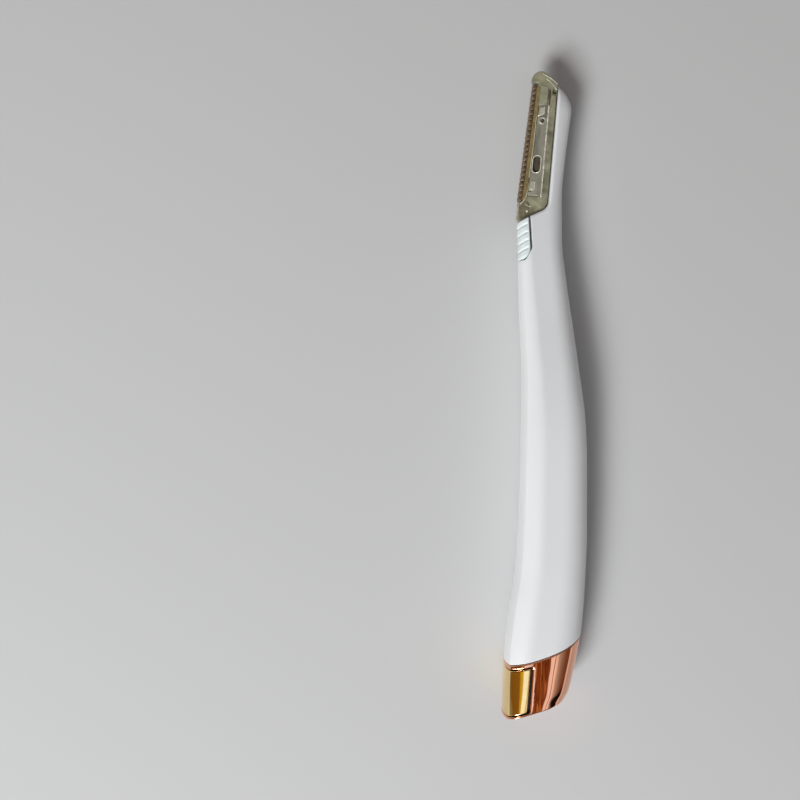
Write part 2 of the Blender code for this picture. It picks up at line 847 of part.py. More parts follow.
def make_head_rail(surface):
    rail = bar("head_rail", rail_section(0.0), RAIL_START_S, RAIL_END_S, RAIL)
    return finish(rail, "head_rail", surface)


# Blade head, in the rail's frame


def head_half(t):
    """Half thickness of the head at t."""
    full = HEAD_DEPTH / 2
    if t <= HEAD_FLAT_T:
        return full
    share = (t - HEAD_FLAT_T) / (HEAD_EDGE_T - HEAD_FLAT_T)
    return full + (HEAD_EDGE_HALF - full) * share


def head_outline():
    """The head seen from the side: pointed foot, slanted top with a round bulb."""
    guard_back = GUARD_REACH + GAP
    foot_gap = GAP / math.cos(POCKET_EDGE_ANGLE)
    corner_s = pocket_edge_s(GAP) + foot_gap
    points = [
        (HEAD_TOP_S, GAP),
        (corner_s, GAP),
        (pocket_edge_s(HEAD_TIP_T) + foot_gap, HEAD_TIP_T),
        (HEAD_CORNER_S, edge_t(HEAD_CORNER_S) + GUARD_WRAP / 2),
        (HEAD_CORNER_S, edge_t(HEAD_CORNER_S) - guard_back),
        (BULB_S - BULB_RADIUS / 2, edge_t(BULB_S) - guard_back),
    ]
    outline = rounded(points, (0.0, POCKET_FILLET - GAP, 0.0, 0.0, 0.0, 0.0))
    for step in range(2 * ARC_STEPS + 1):
        angle = BULB_START - BULB_SWEEP * step / (2 * ARC_STEPS)
        s = BULB_S + BULB_RADIUS * math.cos(angle)
        outline.append((s, BULB_T + BULB_RADIUS * math.sin(angle)))
    return outline


def head_wedge(name):
    """The head's thickness: flat at the back and thinning toward the blade."""
    half = HEAD_DEPTH / 2
    tip_half = head_half(HEAD_TIP_T)
    outline = (
        (-GAP, -half),
        (HEAD_FLAT_T, -half),
        (HEAD_EDGE_T, -HEAD_EDGE_HALF),
        (HEAD_TIP_T + GAP, -max(tip_half, HEAD_EDGE_HALF / 2)),
        (HEAD_TIP_T + GAP, max(tip_half, HEAD_EDGE_HALF / 2)),
        (HEAD_EDGE_T, HEAD_EDGE_HALF),
        (HEAD_FLAT_T, half),
        (-GAP, half),
    )
    return bar(name, outline, -FAR, 2 * FAR, RAIL)


def cover_end_t(s):
    """Front edge of the cover plate, a band behind the guard."""
    return edge_t(s) - GUARD_REACH - COVER_BAND


def cover_ring(s, grow, drop):
    """Section of the cover plate at s; grow and drop widen it into its recess."""
    start = COVER_START_T - grow
    end = cover_end_t(s) + grow
    under = COVER_THICKNESS + drop
    outline = (
        (start, head_half(start) - under),
        (HEAD_FLAT_T, head_half(HEAD_FLAT_T) - under),
        (end, head_half(end) - under),
        (end, head_half(end) + grow),
        (HEAD_FLAT_T, head_half(HEAD_FLAT_T) + grow),
        (start, head_half(start) + grow),
    )
    return [RAIL @ Vector((s, t, z)) for t, z in outline]


def blade_outline(grow):
    low, high = BLADE_START_S - grow, BLADE_END_S + grow
    back = BLADE_WIDTH + grow
    return (
        (low, edge_t(low) - back),
        (high, edge_t(high) - back),
        (high, edge_t(high) + grow),
        (low, edge_t(low) + grow),
    )


def make_head_carrier(surface):
    carrier = prism("head_carrier", head_outline(), -HEAD_DEPTH, HEAD_DEPTH, RAIL)
    keep(carrier, head_wedge("wedge"))
    recess = (
        cover_ring(COVER_START_S - GAP, GAP, GAP),
        cover_ring(COVER_END_S + GAP, GAP, GAP),
    )
    cut(carrier, skin("recess", recess))
    half = BLADE_THICKNESS / 2 + GAP / 2
    cut(carrier, prism("blade_room", blade_outline(GAP), -half, half, RAIL))
    groove = rail_section(GAP / 2 + HALF_SEAM / 2)
    cut(carrier, bar("groove", groove, -FAR, RAIL_END_S + 2 * GAP, RAIL))
    return finish(carrier, "head_carrier", surface)


def make_head_cover(surface):
    rings = (cover_ring(COVER_START_S, 0.0, 0.0), cover_ring(COVER_END_S, 0.0, 0.0))
    cover = skin("head_cover", rings)
    low_s = COVER_SLOT_S - COVER_SLOT_LENGTH / 2
    high_s = COVER_SLOT_S + COVER_SLOT_LENGTH / 2
    low_t = COVER_SLOT_T - COVER_SLOT_WIDTH / 2
    high_t = COVER_SLOT_T + COVER_SLOT_WIDTH / 2
    corner = COVER_SLOT_WIDTH / 2 - GAP / 2
    corners = ((low_s, low_t), (high_s, low_t), (high_s, high_t), (low_s, high_t))
    slot = rounded(corners, (corner,) * 4)
    cut(cover, prism("slot", slot, -HEAD_DEPTH, HEAD_DEPTH, RAIL))
    for center_s in (COVER_START_S + COVER_NOTCH_LENGTH, COVER_END_S - COVER_NOTCH_LENGTH):
        half = COVER_NOTCH_LENGTH / 2
        notch = block("notch", (center_s - half, center_s + half),
                      (cover_end_t(center_s) - COVER_NOTCH_DEPTH, edge_t(center_s)),
                      (-HEAD_DEPTH, HEAD_DEPTH), RAIL)
        cut(cover, notch)
    low_z = head_half(COVER_SLOT_T) - COVER_THICKNESS / 2
    high_z = head_half(COVER_SLOT_T) + COVER_BOSS_HEIGHT
    place = RAIL @ Vector((COVER_BOSS_S, COVER_SLOT_T, 0.0))
    profile = ((low_z, COVER_BOSS_RADIUS), (high_z, COVER_BOSS_RADIUS))
    join(cover, upright("boss", profile, place.x, place.y))
    return finish(cover, "head_cover", surface)


def make_blade(surface):
    """Flat blade whose long front edge is ground from both sides."""
    half = BLADE_THICKNESS / 2
    rings = []
    for s in (BLADE_START_S, BLADE_END_S):
        sharp = edge_t(s)
        outline = (
            (sharp - BLADE_WIDTH, -half),
            (sharp - BLADE_BEVEL, -half),
            (sharp, -half / 4),
            (sharp, half / 4),
            (sharp - BLADE_BEVEL, half),
            (sharp - BLADE_WIDTH, half),
        )
        rings.append([RAIL @ Vector((s, t, z)) for t, z in outline])
    return finish(skin("blade", rings), "blade", surface)


def guard_start_s():
    return HEAD_CORNER_S + GAP


def guard_end_s():
    return BULB_S - BULB_RADIUS / 2 - GAP


def make_blade_guard(surface):
    """Folded strip round the blade's edge, cut into teeth."""
    outer = GUARD_DEPTH / 2
    inner = GUARD_SLOT / 2
    rings = []
    for s in (guard_start_s(), guard_end_s()):
        sharp = edge_t(s)
        back = sharp - GUARD_REACH
        front = sharp + GUARD_WRAP
        web = sharp + GUARD_WRAP / 2
        outline = (
            (back, -outer),
            (web, -outer),
            (front, -inner),
            (front, inner),
            (web, outer),
            (back, outer),
            (back, inner),
            (web, inner),
            (web, -inner),
            (back, -inner),
        )
        rings.append([RAIL @ Vector((s, t, z)) for t, z in outline])
    guard = skin("blade_guard", rings)
    gaps = bmesh.new()
    s = guard_start_s() + GUARD_END_BAND + GUARD_TOOTH
    while s < guard_end_s() - GUARD_END_BAND - GUARD_TOOTH:
        low_t = edge_t(s) - GUARD_REACH + GUARD_BAND
        size = (GUARD_PITCH - GUARD_TOOTH, 2 * GUARD_REACH, 4 * GUARD_DEPTH)
        middle = Vector((s, low_t + GUARD_REACH, 0.0))
        shape = Matrix.Translation(middle) @ Matrix.Diagonal((*size, 1.0))
        bmesh.ops.create_cube(gaps, size=1.0, matrix=RAIL @ shape)
        s += GUARD_PITCH
    cut(guard, object_from("gaps", gaps))
    return finish(guard, "blade_guard", surface)


# Slider and its spring


def make_eject_slider(surface):
    slider = body_solid("eject_slider", 0.0, SLOT_BLEND_Y, RIM_Y)
    keep(slider, prism("outline", slider_outline(0.0, 0.0), -FAR, FAR))
    cut(slider, pocket_solid("pocket"))
    foot_y_low = stem_foot_y()
    back = slot_back_x(SLIDER_BACK_FOOT_Y) + SLOT_WALL + GAP
    stem_half = SLIDER_STEM_DEPTH / 2
    foot_half = SLIDER_FOOT_DEPTH / 2
    stem = block("stem", (SLIDER_HEEL_X, back + SLIDER_FOOT_THICKNESS / 2),
                 (foot_y_low, foot_y_low + SLIDER_STEM_LENGTH), (-stem_half, stem_half))
    foot = block("foot", (back, back + SLIDER_FOOT_THICKNESS),
                 (foot_y_low, foot_y_low + SLIDER_STEM_LENGTH), (-foot_half, foot_half))
    join(slider, stem)
    join(slider, foot)
    for index in range(SLIDER_RIDGES):
        y = SLIDER_FOOT_Y + RIDGE_START + RIDGE_PITCH * index
        x = line_value(FRONT_LINE, y)
        rise = math.tan(RIDGE_ANGLE) * RIDGE_CUT
        groove = prism("groove", (
            (x - GAP, y - RIDGE_PITCH / 4 - rise),
            (x + RIDGE_CUT, y + rise),
            (x - GAP, y + RIDGE_PITCH / 4 - rise),
        ), -FAR, FAR)
        cut(slider, groove)
    return finish(slider, "eject_slider", surface)


def make_slider_spring(surface):
    """Extension coil from the post up to the foot of the slider's stem."""
    low_y = POST_Y + POST_RADIUS + GAP + SPRING_WIRE / 2
    high_y = stem_foot_y() - GAP - SPRING_WIRE / 2
    steps = SPRING_TURNS * SPRING_TURN_POINTS
    path = []
    for index in range(steps + 1):
        angle = 2.0 * math.pi * index / SPRING_TURN_POINTS
        y = low_y + (high_y - low_y) * index / steps
        x = spring_x() + SPRING_RADIUS * math.cos(angle)
        path.append(Vector((x, y, SPRING_RADIUS * math.sin(angle))))
    pitch = (high_y - low_y) / SPRING_TURNS
    print("slider spring: least gap between turns %.2f mm" % ((pitch - SPRING_WIRE) * 1000))
    coil = tube("slider_spring", path, SPRING_WIRE / 2, SPRING_SIDES)
    return finish(coil, "slider_spring", surface)


# Cell, cradle and contacts, in the cell's frame


def make_battery_cell(surface):
    shoulder = CELL_LENGTH - CELL_NUB_HEIGHT
    profile = (
        (0.0, CELL_RADIUS - CELL_BEVEL),
        (CELL_BEVEL, CELL_RADIUS),
        (shoulder - CELL_BEVEL, CELL_RADIUS),
        (shoulder, CELL_RADIUS - CELL_BEVEL),
        (shoulder, CELL_NUB_DIAMETER / 2),
        (CELL_LENGTH, CELL_NUB_DIAMETER / 2),
    )
    return finish(turned("battery_cell", profile, CELL), "battery_cell", surface, SMOOTH)


def positive_a():
    """Underside of the positive plate."""
    return CELL_LENGTH + CONTACT_GAP


def cradle_end_a():
    """Underside of the cradle's end wall."""
    return CRADLE_TOP_A - CRADLE_END_WALL


def strip_radius():
    """Inner face of the negative strip, measured from the cell's axis."""
    return CELL_RADIUS + CRADLE_CLEARANCE + CRADLE_WALL + STRIP_GAP


def strip_block(name, grow, low_a, high_a):
    """A flat strip along the cell at an angle round it, grown for the way it runs in."""
    half = STRIP_WIDTH / 2 + grow
    low_r = strip_radius() - grow
    high_r = strip_radius() + STRIP_THICKNESS + grow
    corners = ((low_r, -half), (high_r, -half), (high_r, half), (low_r, half))
    outline = []
    for out, aside in corners:
        b = out * math.cos(STRIP_ANGLE) - aside * math.sin(STRIP_ANGLE)
        z = out * math.sin(STRIP_ANGLE) + aside * math.cos(STRIP_ANGLE)
        outline.append((b, z))
    return bar(name, outline, low_a, high_a, CELL)


def make_battery_cradle(surface):
    """Two rails beside the cell, an end wall above it and a collar that enters the cap."""
    bore = CELL_RADIUS + CRADLE_CLEARANCE
    outer = bore + CRADLE_WALL
    profile = ((COLLAR_TOP_A / 2, outer), (CRADLE_TOP_A, outer))
    cradle = turned("battery_cradle", profile, CELL)
    collar = body_solid("collar", COLLAR_INSET, BODY_FOOT_Y, JUNCTION_Y + FAR)
    keep(collar, block("range", (COLLAR_FOOT_A, COLLAR_TOP_A), (-FAR, FAR), (-FAR, FAR), CELL))
    join(cradle, collar)
    cut(cradle, turned("bore", ((COLLAR_FOOT_A - FAR, bore), (cradle_end_a(), bore)), CELL))
    slab = (CELL_DIAMETER + CRADLE_SLAB_ROOM) / 2
    keep(cradle, block("slab", (-FAR, 5 * FAR), (-FAR, FAR), (-slab, slab), CELL))
    half_tab = POSITIVE_TAB / 2 + GAP
    cut(cradle, block("tab_way", (0.0, CRADLE_TOP_A + FAR), (-half_tab, half_tab),
                      (-CONTACT_GAP, 2 * CONTACT_GAP + CONTACT_THICKNESS + GAP), CELL))
    cut(cradle, strip_block("strip_way", STRIP_GAP, COLLAR_FOOT_A - GAP, STRIP_TOP_A))
    return finish(cradle, "battery_cradle", surface)


def make_positive_contact(surface):
    half = POSITIVE_PLATE / 2
    low = positive_a()
    plate = block("positive_contact", (low, low + CONTACT_THICKNESS), (-half, half),
                  (-half, half), CELL)
    half_tab = POSITIVE_TAB / 2
    tab = block("tab", (low, low + POSITIVE_TAB_LENGTH), (-half_tab, half_tab),
                (BOARD_TOP_Z + CONTACT_GAP, BOARD_TOP_Z + CONTACT_GAP + CONTACT_THICKNESS), CELL)
    join(plate, tab)
    return finish(plate, "positive_contact", surface)


def make_negative_strip(surface):
    strip = strip_block("negative_strip", 0.0, STRIP_FOOT_A, STRIP_TOP_A)
    radius = strip_radius() + STRIP_THICKNESS / 2
    b = radius * math.cos(STRIP_ANGLE)
    z = radius * math.sin(STRIP_ANGLE)
    low_a = STRIP_TOP_A - STRIP_TAB_LENGTH
    thickness = STRIP_THICKNESS
    foot_z = BOARD_TOP_Z + CONTACT_GAP
    outline = (
        (STRIP_TAB_END_B, foot_z),
        (b + thickness / 2, foot_z),
        (b + thickness / 2, z),
        (b - thickness / 2, z),
        (b - thickness / 2, foot_z + thickness),
        (STRIP_TAB_END_B, foot_z + thickness),
    )
    join(strip, bar("leg", outline, low_a, STRIP_TOP_A - thickness, CELL))
    return finish(strip, "negative_strip", surface)


# Cap and what it holds


def spring_foot_a():
    return -CONTACT_GAP - CELL_SPRING_HEIGHT


def contact_a():
    """Top of the round negative plate under the spring."""
    return spring_foot_a() - CONTACT_GAP


def board_a():
    """Top of the switch board."""
    return contact_a() - CONTACT_THICKNESS - PART_GAP


def make_negative_spring(surface):
    """Cone-shaped coil between the round plate and the cell."""
    steps = CELL_SPRING_TURNS * CELL_SPRING_TURN_POINTS
    low = spring_foot_a() + CELL_SPRING_WIRE / 2
    high = -CONTACT_GAP - CELL_SPRING_WIRE / 2
    path = []
    for index in range(steps + 1):
        share = index / steps
        angle = 2.0 * math.pi * index / CELL_SPRING_TURN_POINTS
        radius = CELL_SPRING_WIDE + (CELL_SPRING_NARROW - CELL_SPRING_WIDE) * share
        along = low + (high - low) * share
        path.append(CELL @ Vector((along, radius * math.cos(angle), radius * math.sin(angle))))
    coil = tube("negative_spring", path, CELL_SPRING_WIRE / 2)
    return finish(coil, "negative_spring", surface)


def make_cap_contact(surface):
    low = contact_a() - CONTACT_THICKNESS
    profile = ((low, CAP_CONTACT_RADIUS), (contact_a(), CAP_CONTACT_RADIUS))
    return finish(turned("cap_contact", profile, CELL), "cap_contact", surface)


def make_switch_board(surface):
    low = board_a() - SWITCH_BOARD_THICKNESS
    profile = ((low, SWITCH_BOARD_RADIUS), (board_a(), SWITCH_BOARD_RADIUS))
    board = turned("switch_board", profile, CELL)
    keep(board, body_solid("inside", CAP_WALL + 2 * GAP, BODY_FOOT_Y, JUNCTION_Y))
    keep(board, block("edges", (-FAR, FAR), (-SWITCH_BOARD_FRONT, SWITCH_BOARD_BACK),
                      (-FAR, FAR), CELL))
    return finish(board, "switch_board", surface)


def make_cap_leaf(surface):
    """Leaf that meets the end of the negative strip when the cap is on."""
    leaf = strip_block("cap_leaf", 0.0, board_a() + PART_GAP, STRIP_FOOT_A - CONTACT_GAP)
    return finish(leaf, "cap_leaf", surface)


def switch_top_a():
    return board_a() - SWITCH_BOARD_THICKNESS - PART_GAP


def make_key_switch(surface):
    high = switch_top_a()
    low = high - SWITCH_HEIGHT
    half = SWITCH_WIDTH / 2
    back = SWITCH_FRONT_B + SWITCH_LENGTH
    switch = block("key_switch", (low, high), (SWITCH_FRONT_B, back), (-half, half), CELL)
    tip = PLUNGER_SIZE / 2
    plunger = block("plunger", (KEY_STEM_A - tip, KEY_STEM_A + tip),
                    (SWITCH_FRONT_B - PLUNGER_REACH, SWITCH_FRONT_B + PLUNGER_SIZE), (-tip, tip), CELL)
    join(switch, plunger)
    return finish(switch, "key_switch", surface)


def make_cap_core(surface):
    """Plastic wedge between the cap's floor and the switch board."""
    core = body_solid("cap_core", CORE_INSET, BODY_FOOT_Y, JUNCTION_Y)
    high = board_a() - SWITCH_BOARD_THICKNESS - PART_GAP
    keep(core, block("range", (-2 * FAR, high), (-FAR, FAR), (-FAR, FAR), CELL))
    cut(core, below_foot("floor", CAP_FLOOR + GAP))
    half = SWITCH_WIDTH / 2 + GAP
    back = SWITCH_FRONT_B + SWITCH_LENGTH + GAP
    cut(core, block("switch_room", (-2 * FAR, FAR), (-FAR, back), (-half, half), CELL))
    return finish(core, "cap_core", surface)


def make_end_cap(surface):
    cap = body_solid("end_cap", 0.0, BODY_FOOT_Y, JUNCTION_Y + FAR)
    keep(cap, below_junction("below", GAP))
    cut(cap, below_foot("foot", 0.0))
    hollow = body_solid("hollow", CAP_WALL, BODY_FOOT_Y, JUNCTION_Y + FAR)
    cut(hollow, below_foot("floor", CAP_FLOOR))
    cut(cap, hollow)
    window = prism("window", key_outline(KEY_SIDE_GAP, GAP), -FAR, FAR)
    room = KEY_THICKNESS + KEY_TRAVEL + GAP
    cut(window, body_solid("inside", room, BODY_FOOT_Y - GAP, JUNCTION_Y + FAR))
    cut(cap, window)
    return finish(cap, "end_cap", surface, SMOOTH)


def make_power_key(surface):
    key = body_solid("power_key", 0.0, BODY_FOOT_Y, JUNCTION_Y + FAR)
    keep(key, prism("outline", key_outline(0.0, 0.0), -FAR, FAR))
    cut(key, body_solid("inside", KEY_THICKNESS, BODY_FOOT_Y - GAP, JUNCTION_Y + 2 * FAR))
    half = KEY_STEM_SIZE / 2
    stem_end = SWITCH_FRONT_B - PLUNGER_REACH - KEY_TRAVEL - GAP / 2
    middle = CELL @ Vector((KEY_STEM_A, 0.0, 0.0))
    front_x = line_value(FRONT_LINE, middle.y) + KEY_THICKNESS / 2
    start_b = (front_x - middle.x) / math.cos(CELL_LEAN)
    stem = block("stem", (KEY_STEM_A - half, KEY_STEM_A + half), (start_b, stem_end),
                 (-half, half), CELL)
    join(key, stem)
    return finish(key, "power_key", surface, SMOOTH)


# Driver board, light and wires


def make_driver_board(surface):
    half = BOARD_WIDTH / 2
    board = block("driver_board", (BOARD_X - half, BOARD_X + half), (BOARD_FOOT_Y, BOARD_TOP_Y),
                  (BOARD_TOP_Z - BOARD_THICKNESS, BOARD_TOP_Z))
    low_z = BOARD_TOP_Z - 2 * BOARD_THICKNESS
    high_z = BOARD_TOP_Z + BOARD_THICKNESS
    for x, y in board_screw_places():
        profile = ((low_z, SCREW_HOLE_RADIUS), (high_z, SCREW_HOLE_RADIUS))
        cut(board, upright("hole", profile, x, y))
    return finish(board, "driver_board", surface)


def make_board_screw(name, x, y, surface):
    head_z = BOARD_TOP_Z + PART_GAP
    profile = (
        (head_z - SCREW_LENGTH, SCREW_RADIUS),
        (head_z, SCREW_RADIUS),
        (head_z, SCREW_HEAD_RADIUS),
        (head_z + SCREW_HEAD_HEIGHT, SCREW_HEAD_RADIUS),
    )
    return finish(upright(name, profile, x, y), name, surface)


def make_boost_inductor(surface):
    low = BOARD_TOP_Z + PART_GAP
    high = low + INDUCTOR_HEIGHT
    rim = INDUCTOR_HEIGHT / 5
    profile = (
        (low, INDUCTOR_RADIUS),
        (low + rim, INDUCTOR_RADIUS),
        (low + rim, INDUCTOR_WAIST),
        (high - rim, INDUCTOR_WAIST),
        (high - rim, INDUCTOR_RADIUS),
        (high, INDUCTOR_RADIUS),
    )
    core = upright("boost_inductor", profile, BOARD_X, BOARD_FOOT_Y + INDUCTOR_ALONG, INDUCTOR_SEGMENTS)
    return finish(core, "boost_inductor", surface)


def board_block(name, x, along, width, length, height, surface):
    y = BOARD_FOOT_Y + along
    low = BOARD_TOP_Z + PART_GAP
    made = block(name, (x - width / 2, x + width / 2), (y - length / 2, y + length / 2),
                 (low, low + height))
    return finish(made, name, surface)


def make_light_window(surface):
    half = WINDOW_WIDTH / 2
    window = block("light_window", (WINDOW_FOOT_S, WINDOW_TOP_S), (LIGHT_T - half, LIGHT_T + half),
                   (-WINDOW_DEPTH / 2, WINDOW_DEPTH / 2), RAIL)
    return finish(window, "light_window", surface)


def make_led(surface):
    half = LED_WIDTH / 2
    led = block("led", (LED_TOP_S - LED_HEIGHT, LED_TOP_S), (LIGHT_T - half, LIGHT_T + half),
                (-LED_DEPTH / 2, LED_DEPTH / 2), RAIL)
    return finish(led, "led", surface)


def led_board_s():
    """Top of the small board under the light."""
    return LED_TOP_S - LED_HEIGHT - PART_GAP


def make_led_board(surface):
    top = led_board_s()
    half = LED_BOARD_WIDTH / 2
    middle = LIGHT_T - LED_BOARD_SHIFT
    board = block("led_board", (top - LED_BOARD_THICKNESS, top), (middle - half, middle + half),
                  (-LED_BOARD_DEPTH / 2, LED_BOARD_DEPTH / 2), RAIL)
    return finish(board, "led_board", surface)


def make_led_wire(name, side, surface):
    """A lead from the light's board down to the driver board."""
    low_z = BOARD_TOP_Z + PART_GAP + WIRE_RADIUS
    path = []
    last = len(WIRE_POINTS) - 1
    for index, (x, y) in enumerate(WIRE_POINTS):
        share = index / last
        z = side * WIRE_SPREAD * (1 - share) + low_z * share
        path.append(Vector((x + side * WIRE_END_SPREAD * share, y, z)))
    return finish(tube(name, path, WIRE_RADIUS), name, surface)


def set_origin(made, point):
    """Moves an object's origin to a point of the model."""
    made.data.transform(Matrix.Translation(-point))
    made.location = point


def build():
    remove_everything()
    surfaces = make_materials()
    handle = [
        make_shell("right_shell", 1, surfaces["white"]),
        make_shell("left_shell", -1, surfaces["white"]),
        make_head_rail(surfaces["rail"]),
        make_battery_cell(surfaces["cell"]),
        make_battery_cradle(surfaces["inner"]),
        make_positive_contact(surfaces["brass"]),
        make_negative_strip(surfaces["brass"]),
        make_driver_board(surfaces["board"]),
        make_boost_inductor(surfaces["ferrite"]),
        board_block("driver_chip", CHIP_X, CHIP_ALONG, CHIP_WIDTH, CHIP_LENGTH,
                    CHIP_HEIGHT, surfaces["chip"]),
        board_block("board_capacitor", CAPACITOR_X, CAPACITOR_ALONG, CAPACITOR_WIDTH, CAPACITOR_LENGTH,
                    CAPACITOR_HEIGHT, surfaces["ceramic"]),
        make_light_window(surfaces["clear"]),
        make_led(surfaces["led"]),
        make_led_board(surfaces["board"]),
        make_led_wire("led_wire_red", 1, surfaces["red"]),
        make_led_wire("led_wire_black", -1, surfaces["black"]),
        make_slider_spring(surfaces["spring"]),
    ]
    for index, (x, y) in enumerate(board_screw_places()):
        handle.append(make_board_screw("board_screw_%d" % (index + 1), x, y, surfaces["spring"]))
    slider = make_eject_slider(surfaces["slider"])
    head = [
        make_head_carrier(surfaces["head"]),
        make_head_cover(surfaces["cover"]),
        make_blade(surfaces["blade"]),
        make_blade_guard(surfaces["guard"]),
    ]
    cap = [
        make_end_cap(surfaces["copper"]),
        make_cap_core(surfaces["inner"]),
        make_switch_board(surfaces["board"]),
        make_key_switch(surfaces["chip"]),
        make_negative_spring(surfaces["spring"]),
        make_cap_contact(surfaces["brass"]),
        make_cap_leaf(surfaces["brass"]),
    ]
    key = make_power_key(surfaces["gold"])
    lift = Vector((0.0, 0.0, MID_Z))
    for made in handle:
        made.location = lift
    slider_origin = Vector((SLIDER_BACK_FOOT_X, SLIDER_BACK_FOOT_Y, 0.0))
    set_origin(slider, slider_origin)
    slider.location = slider_origin + lift
    head_origin = RAIL @ Vector((RAIL_START_S, 0.0, 0.0))
    for made in head:
        set_origin(made, head_origin)
        made.location = head_origin + lift
    cap_origin = CELL @ Vector((0.0, 0.0, 0.0))
    for made in cap:
        set_origin(made, cap_origin)
        made.location = cap_origin + lift
    key_origin = CELL @ Vector((KEY_STEM_A, 0.0, 0.0))
    set_origin(key, key_origin)
    key.location = key_origin + lift


build()
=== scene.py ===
"""Looks of the lighted dermaplaning tool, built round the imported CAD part.

Metres, +Z up, in the frame's own coordinates. Outlines are drawn in the tool's middle plane and
lifted by LIFT when a piece is made. The handle runs along +Y and the blade edge looks to -X.
"""

import math

import bmesh
import bpy
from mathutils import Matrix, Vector
from mathutils.geometry import delaunay_2d_cdt


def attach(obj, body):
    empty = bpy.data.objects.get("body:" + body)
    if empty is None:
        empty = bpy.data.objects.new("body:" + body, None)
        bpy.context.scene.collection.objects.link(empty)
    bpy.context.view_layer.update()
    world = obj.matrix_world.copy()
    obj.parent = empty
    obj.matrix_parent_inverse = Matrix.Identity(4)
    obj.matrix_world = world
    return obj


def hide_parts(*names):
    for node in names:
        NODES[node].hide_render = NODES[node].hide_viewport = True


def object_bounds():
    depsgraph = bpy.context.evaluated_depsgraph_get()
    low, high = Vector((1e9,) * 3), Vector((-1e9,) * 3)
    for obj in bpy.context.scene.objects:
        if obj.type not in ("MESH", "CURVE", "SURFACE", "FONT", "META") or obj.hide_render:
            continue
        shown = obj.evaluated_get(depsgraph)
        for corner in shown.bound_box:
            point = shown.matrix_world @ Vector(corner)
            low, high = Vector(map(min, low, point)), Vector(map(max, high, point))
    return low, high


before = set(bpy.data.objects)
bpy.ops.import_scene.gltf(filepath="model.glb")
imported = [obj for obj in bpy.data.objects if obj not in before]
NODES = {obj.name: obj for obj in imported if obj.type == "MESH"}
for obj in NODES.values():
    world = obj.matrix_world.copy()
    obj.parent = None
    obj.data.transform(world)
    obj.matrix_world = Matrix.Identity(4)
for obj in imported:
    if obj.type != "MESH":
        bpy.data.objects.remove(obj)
CAD_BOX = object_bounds()
LIFT = (CAD_BOX[0].z + CAD_BOX[1].z) / 2

# Outer form of the handle and cap, as (y, value) points of smooth curves
FRONT_LINE = (
    (-0.0840, -0.0108), (-0.0800, -0.0106), (-0.0645, -0.0099), (-0.0545, -0.0087),
    (-0.0440, -0.0071), (-0.0330, -0.00635), (-0.0170, -0.00585), (0.0030, -0.00555),
    (0.0200, -0.0062), (0.0384, -0.0067), (0.0460, -0.0070), (0.0780, -0.0070),
)
BACK_LINE = (
    (-0.0840, 0.0020), (-0.0768, 0.0046), (-0.0742, 0.0060), (-0.0690, 0.0073),
    (-0.0643, 0.0083), (-0.0592, 0.0092), (-0.0474, 0.0101), (-0.0330, 0.0106),
    (-0.0170, 0.0106), (-0.0058, 0.0101), (0.0013, 0.0092), (0.0154, 0.00725),
    (0.0278, 0.0055), (0.0384, 0.0044), (0.0482, 0.0044), (0.0588, 0.0053),
    (0.0680, 0.0065), (0.0708, 0.0068), (0.0734, 0.0062), (0.0755, 0.0048), (0.0767, 0.0036),
)
DEPTH_LINE = (
    (-0.0840, 0.0146), (-0.0100, 0.0146), (0.0050, 0.0136), (0.0200, 0.0112),
    (0.0384, 0.0087), (0.0500, 0.0074), (0.0700, 0.0068), (0.0767, 0.0056),
)
BODY_FOOT_Y = -0.0840
SPINE_TOP_Y = 0.0767

# Cross-section of the body, and how finely each stretch of it is drawn
LAND_HALF = 0.0020
LAND_SHARE = 0.22
LAND_SHIFT = 0.0006
CREASE_SHARE = 0.75
CREASE_SOFTNESS = 0.00035
FRONT_SAG = 0.0008
BACK_ROUNDNESS = 2.3
BACK_LIMIT = 0.97
FACE_STEPS = 5
CREASE_STEPS = 6
SLOPE_STEPS = 14
LAND_STEPS = 16
BACK_STEPS = 26
PROFILE_LAST = FACE_STEPS + CREASE_STEPS + SLOPE_STEPS + LAND_STEPS + BACK_STEPS
SETTLE_ROUNDS = 6
HALVINGS = 40

# Walls, gaps and edges
SHELL_WALL = 0.0014
CAP_WALL = 0.0012
CAP_FLOOR = 0.0013
GAP = 0.0003
SEAM_HALF = 0.00006
SEAM_BEVEL = 0.00012
EDGE_ROUND = 0.0002
ARC_STEPS = 5
ROUND_STEPS = 4
SMOOTH_ANGLE = math.radians(38.0)
FAR = 0.02

# Junction of handle and cap, and the oblique foot of the cap
JUNCTION_Y = -0.06468
JUNCTION_SLOPE = 0.374
JUNCTION_CURVE = 10.3
JUNCTION_BLEND = 0.035
FOOT_Y = -0.0776
FOOT_ANGLE = math.radians(17.0)

# Rail and pocket, with s up the rail and t toward the blade
RIM_X = 0.00074
RIM_Y = 0.04775
RAIL_LEAN = math.radians(5.05)
RAIL_UP = Vector((math.sin(RAIL_LEAN), math.cos(RAIL_LEAN), 0.0))
RAIL_FRONT = Vector((-math.cos(RAIL_LEAN), math.sin(RAIL_LEAN), 0.0))
RAIL_START_S = 0.0006
RAIL_END_S = 0.0268
RAIL_WEB = 0.0007
RAIL_FLANGE = 0.0018
RAIL_FLANGE_DEPTH = 0.0006
RAIL_REACH = 0.0018
RAIL_ROOT = 0.0021
POCKET_CORNER_S = -0.00195
POCKET_EDGE_ANGLE = math.radians(29.05)
POCKET_FILLET = 0.0030
POCKET_TOP_S = 0.036
POCKET_RIM = 0.0007

